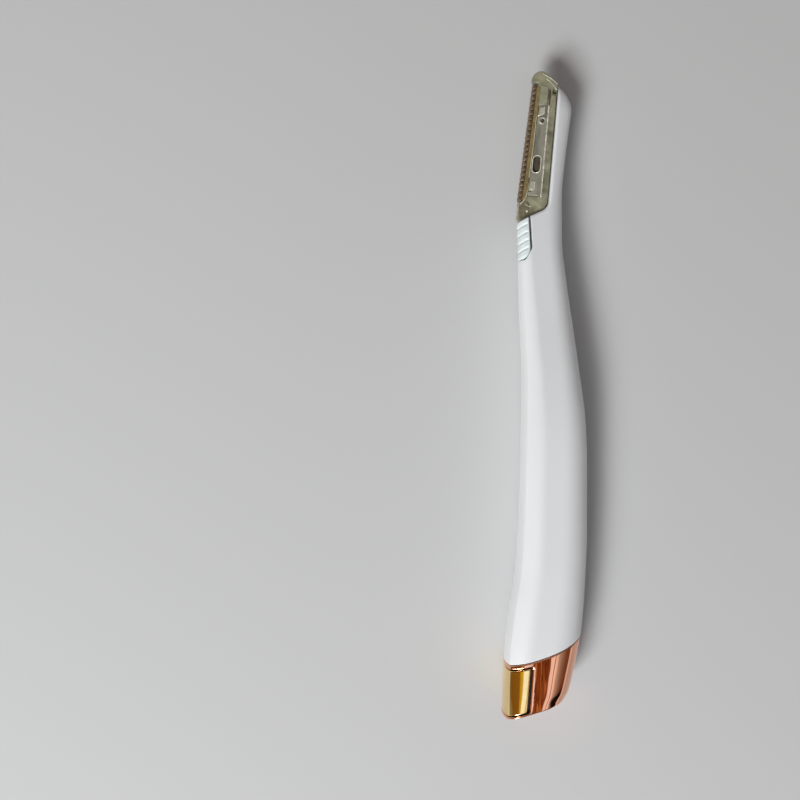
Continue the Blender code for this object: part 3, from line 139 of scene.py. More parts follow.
# Slider, its ridges and the stem that carries it
SLIDER_BACK_TOP_X = -0.00435
SLIDER_BACK_FOOT_X = -0.00400
SLIDER_BACK_FOOT_Y = 0.0358
SLIDER_HEEL_X = -0.0054
SLIDER_FOOT_Y = 0.0330
SLIDER_TOP_Y = 0.0430
SLIDER_SIDE_GAP = 0.0005
SLIDER_TOP_GAP = 0.0002
SLIDER_HEEL_ROUND = 0.0010
SLIDER_BACK_ROUND = 0.0015
SLIDER_ROUND = 0.0003
SLIDER_ROWS = 90
SLIDER_COLUMNS = 26
HEEL_CURVE = 2.2
RIDGE_PITCH = 0.0020
RIDGE_DEPTH = 0.00046
RIDGE_SHARPNESS = 3.0
RIDGE_LEAN = math.radians(22.0)
RIDGE_FIRST_Y = 0.0334
RIDGE_COUNT = 5
RIDGE_FADE = 5
RIDGE_LEAST = 0.15
SLOT_WALL = 0.0011
BEHIND_SLOT_X = SLIDER_BACK_FOOT_X + SLIDER_SIDE_GAP + SLOT_WALL
STEM_DEPTH_HALF = 0.0008
STEM_FOOT_HALF = 0.0012
STEM_LENGTH = 0.0018
STEM_RISE = 0.0022
STEM_FOOT_THICKNESS = 0.0020


def rail_point(s, t, z=0.0):
    """A point of the rail's frame in the model, before the lift."""
    return Vector((RIM_X, RIM_Y, z)) + RAIL_UP * s + RAIL_FRONT * t


def in_model(outline):
    """An outline in s and t, turned into the model's x and y."""
    return [tuple(rail_point(s, t).xy) for s, t in outline]


def spaced(low, high, steps):
    """Values from low to high in even steps."""
    return [low + (high - low) * step / steps for step in range(steps + 1)]


def turns(count, shift=0.0):
    """Angles that divide a full turn evenly."""
    return [2 * math.pi * (index + shift) / count for index in range(count)]


# Curves of the outer form


def line_slope(points, index):
    """Slope of the smooth curve at one of its points; flat where the curve turns or levels."""
    here = points[index]
    before = points[max(index - 1, 0)]
    after = points[min(index + 1, len(points) - 1)]
    if before is not here and after is not here:
        if (here[1] - before[1]) * (after[1] - here[1]) <= 0.0:
            return 0.0
    return (after[1] - before[1]) / (after[0] - before[0])


def line_value(points, y):
    """The smooth curve through (y, value) points, held flat past its ends."""
    if y <= points[0][0]:
        return points[0][1]
    if y >= points[-1][0]:
        return points[-1][1]
    index = 0
    while y > points[index + 1][0]:
        index += 1
    start, end = points[index], points[index + 1]
    span = end[0] - start[0]
    share = (y - start[0]) / span
    square = share * share
    cube = square * share
    value = (2 * cube - 3 * square + 1) * start[1] + (3 * square - 2 * cube) * end[1]
    value += (cube - 2 * square + share) * span * line_slope(points, index)
    value += (cube - square) * span * line_slope(points, index + 1)
    return value


def section(y, inset=0.0):
    """Measures of the body's section at y, drawn in by an inset.

    Front, back, half thickness, middle and half width of the flat land, x and z of the crease.
    """
    front = line_value(FRONT_LINE, y) + inset
    back = line_value(BACK_LINE, y) - inset
    half = line_value(DEPTH_LINE, y) / 2 - inset
    land = min(LAND_HALF, LAND_SHARE * (back - front))
    ridge = (front + back) / 2 - LAND_SHIFT
    return front, back, half, ridge, land, front + FRONT_SAG, CREASE_SHARE * half


def slope_height(half, share):
    """Height of the slope above the crease, at a share of its way to the flat land."""
    return half - (half - CREASE_SHARE * half) * (1 - share) ** 2


def profile_point(place, y, inset=0.0):
    """(x, z) of the upper half of the section; place runs from the front to the back edge."""
    front, back, half, ridge, land, crease_x, crease_z = section(y, inset)
    run = ridge - land - crease_x
    face_end = 1 - CREASE_SOFTNESS / crease_z
    rise_start = CREASE_SOFTNESS / run
    if place <= FACE_STEPS:
        share = face_end * place / FACE_STEPS
        return front + FRONT_SAG * share * share, crease_z * share
    place -= FACE_STEPS
    if place <= CREASE_STEPS:
        share = place / CREASE_STEPS
        below = (front + FRONT_SAG * face_end * face_end, crease_z * face_end)
        above = (crease_x + run * rise_start, slope_height(half, rise_start))
        weights = ((1 - share) ** 2, 2 * share * (1 - share), share * share)
        x = weights[0] * below[0] + weights[1] * crease_x + weights[2] * above[0]
        z = weights[0] * below[1] + weights[1] * crease_z + weights[2] * above[1]
        return x, z
    place -= CREASE_STEPS
    if place <= SLOPE_STEPS:
        share = rise_start + (1 - rise_start) * place / SLOPE_STEPS
        return crease_x + run * share, slope_height(half, share)
    place -= SLOPE_STEPS
    if place <= LAND_STEPS:
        return ridge - land + 2 * land * place / LAND_STEPS, half
    place -= LAND_STEPS
    angle = math.pi / 2 * (1 - min(place / BACK_STEPS, 1.0))
    power = 2 / BACK_ROUNDNESS
    along = max(math.cos(angle), 0.0) ** power
    rise = max(math.sin(angle), 0.0) ** power
    return ridge + land + (back - ridge - land) * along, half * rise


def settled(place, level_of, inset=0.0):
    """The surface point at a place of the section on a curved level, where y depends on x."""
    level = level_of(0.0)
    for _ in range(SETTLE_ROUNDS):
        level = level_of(profile_point(place, level, inset)[0])
    x, z = profile_point(place, level, inset)
    return Vector((x, level, z))


def place_of_x(x, level, inset):
    """The place of the section where its upper half reaches x."""
    low, high = 0.0, float(PROFILE_LAST)
    for _ in range(HALVINGS):
        middle = (low + high) / 2
        if profile_point(middle, level, inset)[0] < x:
            low = middle
        else:
            high = middle
    return low


def surface_height(x, y):
    """Half thickness of the body over a point of the middle plane, held level past its edges."""
    _, back, half, ridge, land, crease_x, crease_z = section(y)
    if x <= crease_x:
        return crease_z
    if x < ridge - land:
        return slope_height(half, (x - crease_x) / (ridge - land - crease_x))
    if x <= ridge + land:
        return half
    reach = min((x - ridge - land) / (back - ridge - land), BACK_LIMIT)
    return half * (1 - reach ** BACK_ROUNDNESS) ** (1 / BACK_ROUNDNESS)


def junction_y(x):
    return JUNCTION_Y + JUNCTION_SLOPE * x + JUNCTION_CURVE * x * x


def foot_y(x):
    return FOOT_Y + math.tan(FOOT_ANGLE) * x


def rounding(radius):
    """(offset, drop) pairs of a rounded edge, from the face that it starts in to the next one."""
    angles = spaced(0.0, math.pi / 2, ROUND_STEPS)
    return [(radius * (1 - math.sin(angle)), radius * (1 - math.cos(angle))) for angle in angles]


# Meshes


def placed(name, data, place=(0.0, 0.0, 0.0)):
    """A new object in the scene."""
    made = bpy.data.objects.new(name, data)
    made.location = place
    bpy.context.scene.collection.objects.link(made)
    return made


def object_from(name, mesh_data):
    """A new object from mesh data in model coordinates, lifted to where the CAD part lies."""
    bmesh.ops.recalc_face_normals(mesh_data, faces=mesh_data.faces)
    bmesh.ops.translate(mesh_data, verts=mesh_data.verts, vec=(0.0, 0.0, LIFT))
    mesh = bpy.data.meshes.new(name)
    mesh_data.to_mesh(mesh)
    mesh_data.free()
    return placed(name, mesh)


def strip(mesh_data, first, second, closed=True):
    """Quads between two rows of vertices."""
    count = len(first)
    for index in range(count if closed else count - 1):
        following = (index + 1) % count
        corners = [first[index], first[following], second[following], second[index]]
        unique = list(dict.fromkeys(corners))
        if len(unique) > 2:
            mesh_data.faces.new(unique)


def walls(mesh_data, rings):
    """Quads through a row of closed rings that have the same number of points."""
    rows = [[mesh_data.verts.new(point) for point in ring] for ring in rings]
    for lower, upper in zip(rows, rows[1:]):
        strip(mesh_data, lower, upper)
    return rows


def tube(mesh_data, rings, closed=False):
    """Walls through rings, with two flat ends or, when closed, on from the last ring to the first."""
    rows = walls(mesh_data, rings)
    if closed:
        strip(mesh_data, rows[-1], rows[0])
    else:
        mesh_data.faces.new(list(reversed(rows[0])))
        mesh_data.faces.new(rows[-1])


def skin(name, rings, closed=False):
    """A solid that is one tube."""
    mesh_data = bmesh.new()
    tube(mesh_data, rings, closed)
    return object_from(name, mesh_data)


def combed(name, rings):
    """A solid through rings that go out and back; its ends are quads between their two halves."""
    mesh_data = bmesh.new()
    rows = walls(mesh_data, rings)
    for row in (rows[0], rows[-1]):
        for index in range(len(row) // 2 - 1):
            mesh_data.faces.new((row[index], row[index + 1], row[-2 - index], row[-1 - index]))
    return object_from(name, mesh_data)


def mirrored(points):
    """The points on the other side of the middle plane."""
    return [Vector((point.x, point.y, -point.z)) for point in points]


def combine(target, operation, *tools):
    """Applies exact Booleans one after another and throws their tools away."""
    for tool in tools:
        modifier = target.modifiers.new(operation, "BOOLEAN")
        modifier.object = tool
        modifier.operation = operation
        modifier.solver = "EXACT"
        bpy.context.view_layer.update()
        graph = bpy.context.evaluated_depsgraph_get()
        result = bpy.data.meshes.new_from_object(target.evaluated_get(graph))
        target.modifiers.clear()
        target.data = result
        bpy.data.objects.remove(tool, do_unlink=True)


def rectangle(low_a, high_a, low_b, high_b):
    return ((low_a, low_b), (high_a, low_b), (high_a, high_b), (low_a, high_b))


def rounded(points, radii):
    """A closed outline whose corners are arcs of one radius or of their own; zero keeps one sharp."""
    if isinstance(radii, float):
        radii = [radii] * len(points)
    outline = []
    for index, radius in enumerate(radii):
        corner = Vector(points[index])
        if radius == 0.0:
            outline.append(tuple(corner))
            continue
        before = (Vector(points[index - 1]) - corner).normalized()
        after = (Vector(points[(index + 1) % len(points)]) - corner).normalized()
        half_angle = before.angle(after) / 2
        reach = radius / math.tan(half_angle)
        center = corner + (before + after).normalized() * radius / math.sin(half_angle)
        start = corner + before * reach - center
        turn = start.angle_signed(corner + after * reach - center)
        for step in range(ARC_STEPS + 1):
            angle = -turn * step / ARC_STEPS
            rotated = Vector((
                start.x * math.cos(angle) - start.y * math.sin(angle),
                start.x * math.sin(angle) + start.y * math.cos(angle),
            ))
            outline.append(tuple(center + rotated))
    return outline


def runs(outline):
    """The straight runs of a closed outline, as (start, end) pairs."""
    return list(zip(outline, outline[1:] + outline[:1]))


def run_counts(outline, longest):
    """How many steps each run is divided into, so that none is longer than a length."""
    return [max(1, math.ceil(math.dist(start, end) / longest)) for start, end in runs(outline)]


def dense(outline, counts):
    """The outline with each of its straight runs divided into a number of steps."""
    points = []
    for (start, end), count in zip(runs(outline), counts):
        for step in range(count):
            share = step / count
            points.append(tuple(low + (high - low) * share for low, high in zip(start, end)))
    return points


CUT_STEP = 0.0009


def flared_cut(name, outline_at, radius):
    """A cutter along z whose rim is rounded where it leaves the body's surface."""
    counts = run_counts(outline_at(0.0), CUT_STEP)
    upper = []
    for outset, drop in rounding(radius):
        points = dense(outline_at(outset), counts)
        upper.append([Vector((x, y, surface_height(x, y) - drop)) for x, y in points])
    upper.insert(0, [Vector((point.x, point.y, FAR)) for point in upper[0]])
    return skin(name, upper + [mirrored(ring) for ring in reversed(upper)])


def prism(name, outline, half):
    """An outline of the middle plane, drawn out by a half thickness each way."""
    return skin(name, [[Vector((x, y, z)) for x, y in outline] for z in (-half, half)])


def rail_way(name, low_s, high_s):
    """The cutter for the way of the I-shaped rail, along a stretch of it."""
    spread = GAP / 2 + SEAM_HALF
    web = RAIL_WEB / 2 + spread
    flange = RAIL_FLANGE / 2 + spread
    outer = RAIL_REACH + spread
    outer_in = RAIL_REACH - RAIL_FLANGE_DEPTH - spread
    root = -RAIL_ROOT - spread
    root_in = -RAIL_ROOT + RAIL_FLANGE_DEPTH + spread
    upper = (
        (root, flange), (root_in, flange), (root_in, web),
        (outer_in, web), (outer_in, flange), (outer, flange),
    )
    outline = [*upper, *((t, -z) for t, z in reversed(upper))]
    return skin(name, [[rail_point(s, t, z) for t, z in outline] for s in (low_s, high_s)])


def dress(made, look, body, slot, *nodes):
    """Gives a piece its material and shading, and ties it to its body and the nodes it stands for."""
    made.data.materials.clear()
    made.data.materials.append(SURFACES[look])
    made.data.shade_smooth()
    made.data.set_sharp_from_angle(angle=SMOOTH_ANGLE)
    weighted = made.modifiers.new("normals", "WEIGHTED_NORMAL")
    weighted.keep_sharp = True
    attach(made, body)
    if nodes:
        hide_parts(*nodes)


# Handle shells

BODY_ROWS = 96
TOP_ROWS = 14
TOP_FINE_Y = 0.0690
CAVITY_ROWS = 24
CAVITY_SKIP = 4
STEP_BACK_Y = 0.028
STEP_BACK_LENGTH = 0.004
LIGHT_T = 0.0010
LIGHT_HALF_T = 0.00125
LIGHT_HALF_Z = 0.00165
LED_TOP_S = -0.0051
STEM_WAY_BACK_X = 0.001
STEM_WAY_LOW_Y = 0.0349
STEM_WAY_HIGH_Y = 0.0403
STEM_WAY_HALF = 0.0011


def half_body(name, side):
    """Half of the handle's outer form, solid; its foot follows the junction's arc."""
    heights = spaced(JUNCTION_Y, TOP_FINE_Y, BODY_ROWS)[1:-1] + spaced(TOP_FINE_Y, SPINE_TOP_Y, TOP_ROWS)
    levels = [(JUNCTION_Y + rise, inset) for inset, rise in rounding(EDGE_ROUND)]
    levels += [(y, 0.0) for y in heights]
    rings = []
    for y, inset in levels:
        blend = max(0.0, 1 - (y - JUNCTION_Y) / JUNCTION_BLEND)
        follow = blend * blend * (3 - 2 * blend)

        def level_of(x, y=y, follow=follow):
            return y + follow * (junction_y(x) - JUNCTION_Y)

        outer = [settled(place, level_of, inset) for place in range(PROFILE_LAST + 1)]
        front, back = outer[0].x, outer[-1].x
        outer[0].z = outer[-1].z = SEAM_HALF + SEAM_BEVEL
        inner = []
        for point in outer:
            share = (point.x - front) / (back - front)
            x = front + SEAM_BEVEL + (back - front - 2 * SEAM_BEVEL) * share
            inner.append(Vector((x, level_of(x), SEAM_HALF)))
        ring = outer + list(reversed(inner))
        rings.append(ring if side > 0 else mirrored(ring))
    return combed(name, rings)


def cavity(name):
    """The hollow of the handle, which steps back behind the slider's slot."""
    rings = []
    for y in spaced(BODY_FOOT_Y, SLIDER_TOP_Y, CAVITY_ROWS):
        blend = min(max((y - STEP_BACK_Y) / STEP_BACK_LENGTH, 0.0), 1.0)
        front = section(y, SHELL_WALL)[0]
        shift = (BEHIND_SLOT_X - front) * blend
        places = range(0, PROFILE_LAST + 1, CAVITY_SKIP)
        upper = [profile_point(place, y, SHELL_WALL) for place in places]
        back = upper[-1][0]
        ring = [Vector((x + shift * (back - x) / (back - front), y, z)) for x, z in upper]
        rings.append(ring + mirrored(reversed(ring[1:-1])))
    return skin(name, rings)


def pocket_outline(outset):
    """The pocket that holds the head, open at the front and top."""
    slope = math.tan(POCKET_EDGE_ANGLE)
    corner_s = POCKET_CORNER_S - outset / math.cos(POCKET_EDGE_ANGLE) + slope * outset
    points = (
        (POCKET_TOP_S, -outset), (corner_s, -outset),
        (corner_s - slope * (FAR + outset), FAR), (POCKET_TOP_S, FAR),
    )
    return in_model(rounded(points, (0.0, POCKET_FILLET + outset, 0.0, 0.0)))


def slot_outline(outset):
    """The slider's slot, seen from the side."""
    side = SLIDER_SIDE_GAP + outset
    low_y = SLIDER_FOOT_Y - (GAP + outset)
    lean = (SLIDER_BACK_TOP_X - SLIDER_BACK_FOOT_X) / (SLIDER_TOP_Y - SLIDER_BACK_FOOT_Y)
    high_y = 2 * SLIDER_TOP_Y - SLIDER_BACK_FOOT_Y
    points = (
        (-FAR, high_y),
        (SLIDER_BACK_TOP_X + side + lean * (high_y - SLIDER_TOP_Y), high_y),
        (SLIDER_BACK_FOOT_X + side, SLIDER_BACK_FOOT_Y),
        (SLIDER_HEEL_X + side / 2, low_y),
        (-FAR, low_y),
    )
    return rounded(points, (0.0, 0.0, SLIDER_BACK_ROUND, SLIDER_HEEL_ROUND, 0.0))


def make_shell(name, side, node):
    stem_way = rectangle(-FAR, STEM_WAY_BACK_X, STEM_WAY_LOW_Y, STEM_WAY_HIGH_Y)
    light_way = rectangle(LED_TOP_S, POCKET_FILLET, LIGHT_T - LIGHT_HALF_T, LIGHT_T + LIGHT_HALF_T)
    shell = half_body(name, side)
    combine(
        shell, "DIFFERENCE",
        cavity("cavity"),
        flared_cut("pocket", pocket_outline, POCKET_RIM),
        flared_cut("slot", slot_outline, EDGE_ROUND),
        prism("stem_way", stem_way, STEM_WAY_HALF),
        rail_way("rail_way", RAIL_START_S - GAP, RAIL_END_S + GAP),
        prism("window_way", in_model(light_way), LIGHT_HALF_Z),
    )
    dress(shell, "white", "handle", "satin_white", node)


# Cap and key

CAP_TOP_GAP = 0.00022
CAP_ROWS = 40
HOLLOW_ROWS = 8
HOLLOW_ABOVE = 0.005
CAP_EDGE = 0.0002
CLOSE_Z = 0.00002
KEY_THICKNESS = 0.0010
KEY_TRAVEL = 0.0005
KEY_SIDE_GAP = 0.0006
KEY_END_GAP = 0.00026
KEY_TOP_X = -0.00435
KEY_FOOT_X = -0.00525
KEY_BELOW_JUNCTION = 0.00145
KEY_ABOVE_FOOT = 0.00075
KEY_CORNER = 0.0005
KEY_ROUND = 0.0003
KEY_ROWS = 30
KEY_COLUMNS = 26
KEY_STEM_Y = -0.0760
KEY_STEM_HALF = 0.0010
KEY_STEM_END_X = -0.00865
# The key's window from outside to inside: how far it reaches beside its own size, above and below
# it, and how deep
KEY_WINDOW = (
    (0.00060, 0.00020, -GAP), (0.00060, 0.00020, 0.0), (0.00042, 0.00015, 0.00002),
    (0.00020, 0.00010, 0.00007), (0.00007, 0.00005, 0.00015), (0.0, 0.0, 0.00030),
    (0.0, 0.0, KEY_THICKNESS + KEY_TRAVEL + GAP),
)
# The four edges of the dark frame that paints shade behind the key's gap: how far beside the key, how far
# past its ends, and how deep
KEY_GAP_SHADE_EDGES = (
    (-0.0006, -0.0006, 0.00156), (0.0009, 0.0004, 0.00156),
    (0.0009, 0.0004, 0.00174), (-0.0006, -0.0006, 0.00174),
)


def cap_form(name, inset, top_of, bottom_of, rows, edge=0.0):
    """A solid with the body's section between two curved levels, with rounded ends."""
    edges = rounding(edge) if edge else [(0.0, 0.0)]
    levels = [(extra, 1.0, drop) for extra, drop in edges]
    levels += [(0.0, 1 - row / rows, 0.0) for row in range(1, rows)]
    levels += [(extra, 0.0, -rise) for extra, rise in reversed(edges)]
    rings = []
    for extra, share, drop in levels:

        def level_of(x, share=share, drop=drop):
            return share * top_of(x) + (1 - share) * bottom_of(x) - drop

        upper = [settled(place, level_of, inset + extra) for place in range(PROFILE_LAST + 1)]
        upper[0].z = upper[-1].z = CLOSE_Z
        rings.append(upper + mirrored(reversed(upper)))
    return combed(name, rings)


def key_patch(beside, ends, inset):
    """A grid of points round the body's front, over the key's outline grown beside and at its ends."""
    top_y = junction_y(KEY_TOP_X) - KEY_BELOW_JUNCTION
    bottom_y = foot_y(KEY_FOOT_X) + KEY_ABOVE_FOOT
    length = top_y - bottom_y + 2 * ends
    radius = KEY_CORNER + ends
    grid = []
    for row in range(KEY_ROWS + 1):
        share = (1 - math.cos(math.pi * row / KEY_ROWS)) / 2
        near = min(share, 1 - share) * length
        edge = KEY_TOP_X + (KEY_FOOT_X - KEY_TOP_X) * share + beside
        if near < radius:
            edge -= radius - math.sqrt(radius * radius - (radius - near) ** 2)

        def level_of(x, share=share):
            high = junction_y(x) - KEY_BELOW_JUNCTION + ends
            low = foot_y(x) + KEY_ABOVE_FOOT - ends
            return high + (low - high) * share

        reach = place_of_x(edge, level_of(edge), inset)
        points = [settled(place, level_of, inset) for place in spaced(0.0, reach, KEY_COLUMNS)]
        grid.append(mirrored(reversed(points[1:])) + points)
    return grid


def border_of(grid):
    """The points round a grid, in order."""
    middle = grid[1:-1]
    down = [row[-1] for row in middle]
    up = [row[0] for row in reversed(middle)]
    return [*grid[0], *down, *reversed(grid[-1]), *up]


def wrapped(name, patches):
    """A closed solid between the first and last grids, whose rim runs through the borders of all."""
    mesh_data = bmesh.new()
    borders = []
    for number, grid in enumerate(patches):
        if number in (0, len(patches) - 1):
            rows = [[mesh_data.verts.new(point) for point in row] for row in grid]
            for lower, upper in zip(rows, rows[1:]):
                strip(mesh_data, lower, upper, closed=False)
            borders.append(border_of(rows))
        else:
            borders.append([mesh_data.verts.new(point) for point in border_of(grid)])
    for lower, upper in zip(borders, borders[1:]):
        strip(mesh_data, lower, upper)
    return object_from(name, mesh_data)


def make_cap():
    def top_of(x):
        return junction_y(x) - CAP_TOP_GAP

    def hollow_top_of(x):
        return junction_y(x) + HOLLOW_ABOVE

    def hollow_foot_of(x):
        return foot_y(x) + CAP_FLOOR / math.cos(FOOT_ANGLE)

    cap = cap_form("rose_gold_cap", 0.0, top_of, foot_y, CAP_ROWS, CAP_EDGE)
    window = [
        key_patch(KEY_SIDE_GAP + beside, KEY_END_GAP + ends, inset) for beside, ends, inset in KEY_WINDOW
    ]
    combine(
        cap, "DIFFERENCE",
        cap_form("hollow", CAP_WALL, hollow_top_of, hollow_foot_of, HOLLOW_ROWS),
        wrapped("key_window", window),
    )
    dress(cap, "copper", "cap", "rose_gold", "end_cap")


def make_key():
    patches = [key_patch(-outset, -outset, drop) for outset, drop in rounding(KEY_ROUND)]
    patches.append(key_patch(0.0, 0.0, KEY_THICKNESS))
    key = wrapped("gold_key", patches)
    front_x = line_value(FRONT_LINE, KEY_STEM_Y) + KEY_THICKNESS / 2
    stem = rectangle(front_x, KEY_STEM_END_X, KEY_STEM_Y - KEY_STEM_HALF, KEY_STEM_Y + KEY_STEM_HALF)
    combine(key, "UNION", prism("stem", stem, KEY_STEM_HALF))
    dress(key, "gold", "key", "yellow_gold", "power_key")


def make_key_gap_shade():
    """A thin dark frame behind the gap round the key, on the cap's core: painted shade in that gap."""
    borders = [border_of(key_patch(*edge)) for edge in KEY_GAP_SHADE_EDGES]
    dress(skin("key_gap_shade", borders, closed=True), "shade_behind_key", "cap", "grey_plastic")


# Slider


def pocket_edge_y(x):
    """Height of the pocket's slanted lower edge at x."""
    slope = math.tan(POCKET_EDGE_ANGLE)
    sine, cosine = math.sin(RAIL_LEAN), math.cos(RAIL_LEAN)
    t = (RIM_X + POCKET_CORNER_S * sine - x) / (cosine + slope * sine)
    return RIM_Y + (POCKET_CORNER_S - slope * t) * cosine + t * sine


def slider_back_x(y):
    """Back edge of the slider: straight above the heel's two rounded corners."""
    share = (y - SLIDER_BACK_FOOT_Y) / (SLIDER_TOP_Y - SLIDER_BACK_FOOT_Y)
    if share >= 0.0:
        return SLIDER_BACK_FOOT_X + (SLIDER_BACK_TOP_X - SLIDER_BACK_FOOT_X) * share
    fall = (SLIDER_BACK_FOOT_Y - y) / (SLIDER_BACK_FOOT_Y - SLIDER_FOOT_Y)
    return SLIDER_BACK_FOOT_X + (SLIDER_HEEL_X - SLIDER_BACK_FOOT_X) * fall ** HEEL_CURVE


def ridge_depth(x, y):
    """How deep the slanted grooves between the slider's ridges are at a point."""
    along = (y - RIDGE_FIRST_Y - math.tan(RIDGE_LEAN) * (x - SLIDER_HEEL_X)) / RIDGE_PITCH
    if along < -0.5 or along > RIDGE_COUNT - 0.5:
        return 0.0
    return RIDGE_DEPTH * (1 - abs(math.sin(math.pi * along))) ** RIDGE_SHARPNESS


def slider_patch(outset, inset, flat=False):
    """A grid of points round the front of the slider, or its flat back wall."""
    grid = []
    for share in spaced(0.0, 1.0, SLIDER_ROWS):

        def level_of(x, share=share):
            low = SLIDER_FOOT_Y - outset
            high = pocket_edge_y(x) - SLIDER_TOP_GAP + outset
            return low + (high - low) * share

        edge = slider_back_x(level_of(SLIDER_BACK_TOP_X)) + outset
        reach = place_of_x(edge, level_of(edge), inset)
        points = []
        for along in spaced(0.0, 1.0, SLIDER_COLUMNS):
            place = reach * along
            point = settled(place, level_of, inset)
            if flat:
                point.x = edge
                point.y = level_of(edge)
            else:
                fade = min(1.0, (1 - along) * RIDGE_FADE + RIDGE_LEAST)
                point = settled(place, level_of, inset + ridge_depth(point.x, point.y) * fade)
            points.append(point)
        grid.append(mirrored(reversed(points[1:])) + points)
    return grid


def make_slider():
    patches = [slider_patch(-outset, drop) for outset, drop in rounding(SLIDER_ROUND)]
    patches.append(slider_patch(0.0, SLIDER_ROUND, flat=True))
    slider = wrapped("ribbed_slider", patches)
    low = SLIDER_FOOT_Y + STEM_RISE
    high = low + STEM_LENGTH
    back = BEHIND_SLOT_X + GAP
    combine(
        slider, "UNION",
        prism("stem", rectangle(SLIDER_HEEL_X, back + GAP, low, high), STEM_DEPTH_HALF),
        prism("foot", rectangle(back, back + STEM_FOOT_THICKNESS, low, high), STEM_FOOT_HALF),
    )
    dress(slider, "slider", "ejector", "cool_white", "eject_slider")


# Blade head, in the rail's frame

HEAD_DEPTH = 0.0055
HEAD_FLAT_T = 0.0020
HEAD_EDGE_T = 0.0056
HEAD_EDGE_HALF = 0.00125
HEAD_EASE = 0.0006
HEAD_TOP_S = 0.0292
HEAD_TIP_T = 0.0074
HEAD_CORNER_S = -0.0008
HEAD_GAP = 0.00025
HEAD_ROUND = 0.00028
HEAD_RADII = (0.0004, POCKET_FILLET - HEAD_GAP, 0.0004, 0.0003, 0.0002, 0.0)
BULB_S = 0.0304
BULB_T = 0.0046
BULB_RADIUS = 0.00195
BULB_START = math.radians(115.0)
BULB_SWEEP = math.radians(155.0)
BULB_STEPS = 20
EDGE_T = 0.0071
EDGE_SLOPE = -0.0425
GUARD_WRAP = 0.0005
GUARD_REACH = 0.0007
COVER_BACK_T = 0.0019
COVER_FRONT_BAND = 0.0018
COVER_LOW_S = 0.0010
COVER_HIGH_S = 0.0275
COVER_THICKNESS = 0.0010
COVER_GAP = 0.00012
COVER_ROUND = 0.00015
COVER_RADII = (0.0005, 0.0005, 0.0004, *(0.0002,) * 8, 0.0004)
NOTCH_LENGTH = 0.0022
NOTCH_DEPTH = 0.0008
SLOT_S = 0.0089
SLOT_T = 0.0037
SLOT_LENGTH = 0.0042
SLOT_WIDTH = 0.00180
SLOT_ROUNDNESS = 0.96
MITER_LIMIT = 0.5
FILL_STEP = 0.0006
FILL_MARGIN = 0.45
SMALLEST_SPLIT = 1e-9
ABOVE_HEAD = 0.005
# Wells and facets of the carrier's upper side, in s and t, with their corners' radius and depth
WELLS = (
    (((0.0263, 0.00045), (0.0278, 0.00055), (0.0281, 0.0012), (0.0266, 0.0015)), 0.0003, 0.0009),
    (((0.0236, 0.00175), (0.0262, 0.00185), (0.0272, 0.00225), (0.0268, 0.0025), (0.0236, 0.00225)),
     0.0002, 0.0008),
    (((-0.0049, 0.0058), (-0.0014, 0.0071), (-0.0009, 0.0066), (0.0006, 0.0054), (-0.0005, 0.0030),
      (-0.0030, 0.0032)), 0.0004, 0.00014),
)


def edge_t(s):
    return EDGE_T + EDGE_SLOPE * s


def pocket_edge_s(t):
    return POCKET_CORNER_S - math.tan(POCKET_EDGE_ANGLE) * t


def head_half(t):
    """Half thickness of the head at t, with the bend between its two slopes eased."""
    full = HEAD_DEPTH / 2
    fall = (full - HEAD_EDGE_HALF) / (HEAD_EDGE_T - HEAD_FLAT_T)
    past = t - HEAD_FLAT_T
    bent = (past + math.sqrt(past * past + HEAD_EASE * HEAD_EASE)) / 2
    return max(full - fall * bent, HEAD_EDGE_HALF / 2)


def raised(rise):
    """A height function that follows the head's upper surface at a distance."""
    return lambda s, t: head_half(t) + rise


def offset_loop(loop, distance):
    """The loop moved inward by a distance; it runs anticlockwise in s and t."""
    moved = []
    for index, point in enumerate(loop):
        here = Vector(point)
        before = (here - Vector(loop[index - 1])).normalized()
        after = (Vector(loop[(index + 1) % len(loop)]) - here).normalized()
        normal_before = Vector((-before.y, before.x))
        normal_after = Vector((-after.y, after.x))
        normal = (normal_before + normal_after).normalized()
        miter = distance / max(normal.dot(normal_after), MITER_LIMIT)
        moved.append(tuple(here + normal * miter))
    return moved


def area_of(loop):
    return sum(start[0] * end[1] - end[0] * start[1] for start, end in runs(loop)) / 2


def within(point, loop):
    inside = False
    for index, (s, t) in enumerate(loop):
        other_s, other_t = loop[index - 1]
        if (t > point[1]) != (other_t > point[1]):
            if point[0] < (other_s - s) * (point[1] - t) / (other_t - t) + s:
                inside = not inside
    return inside


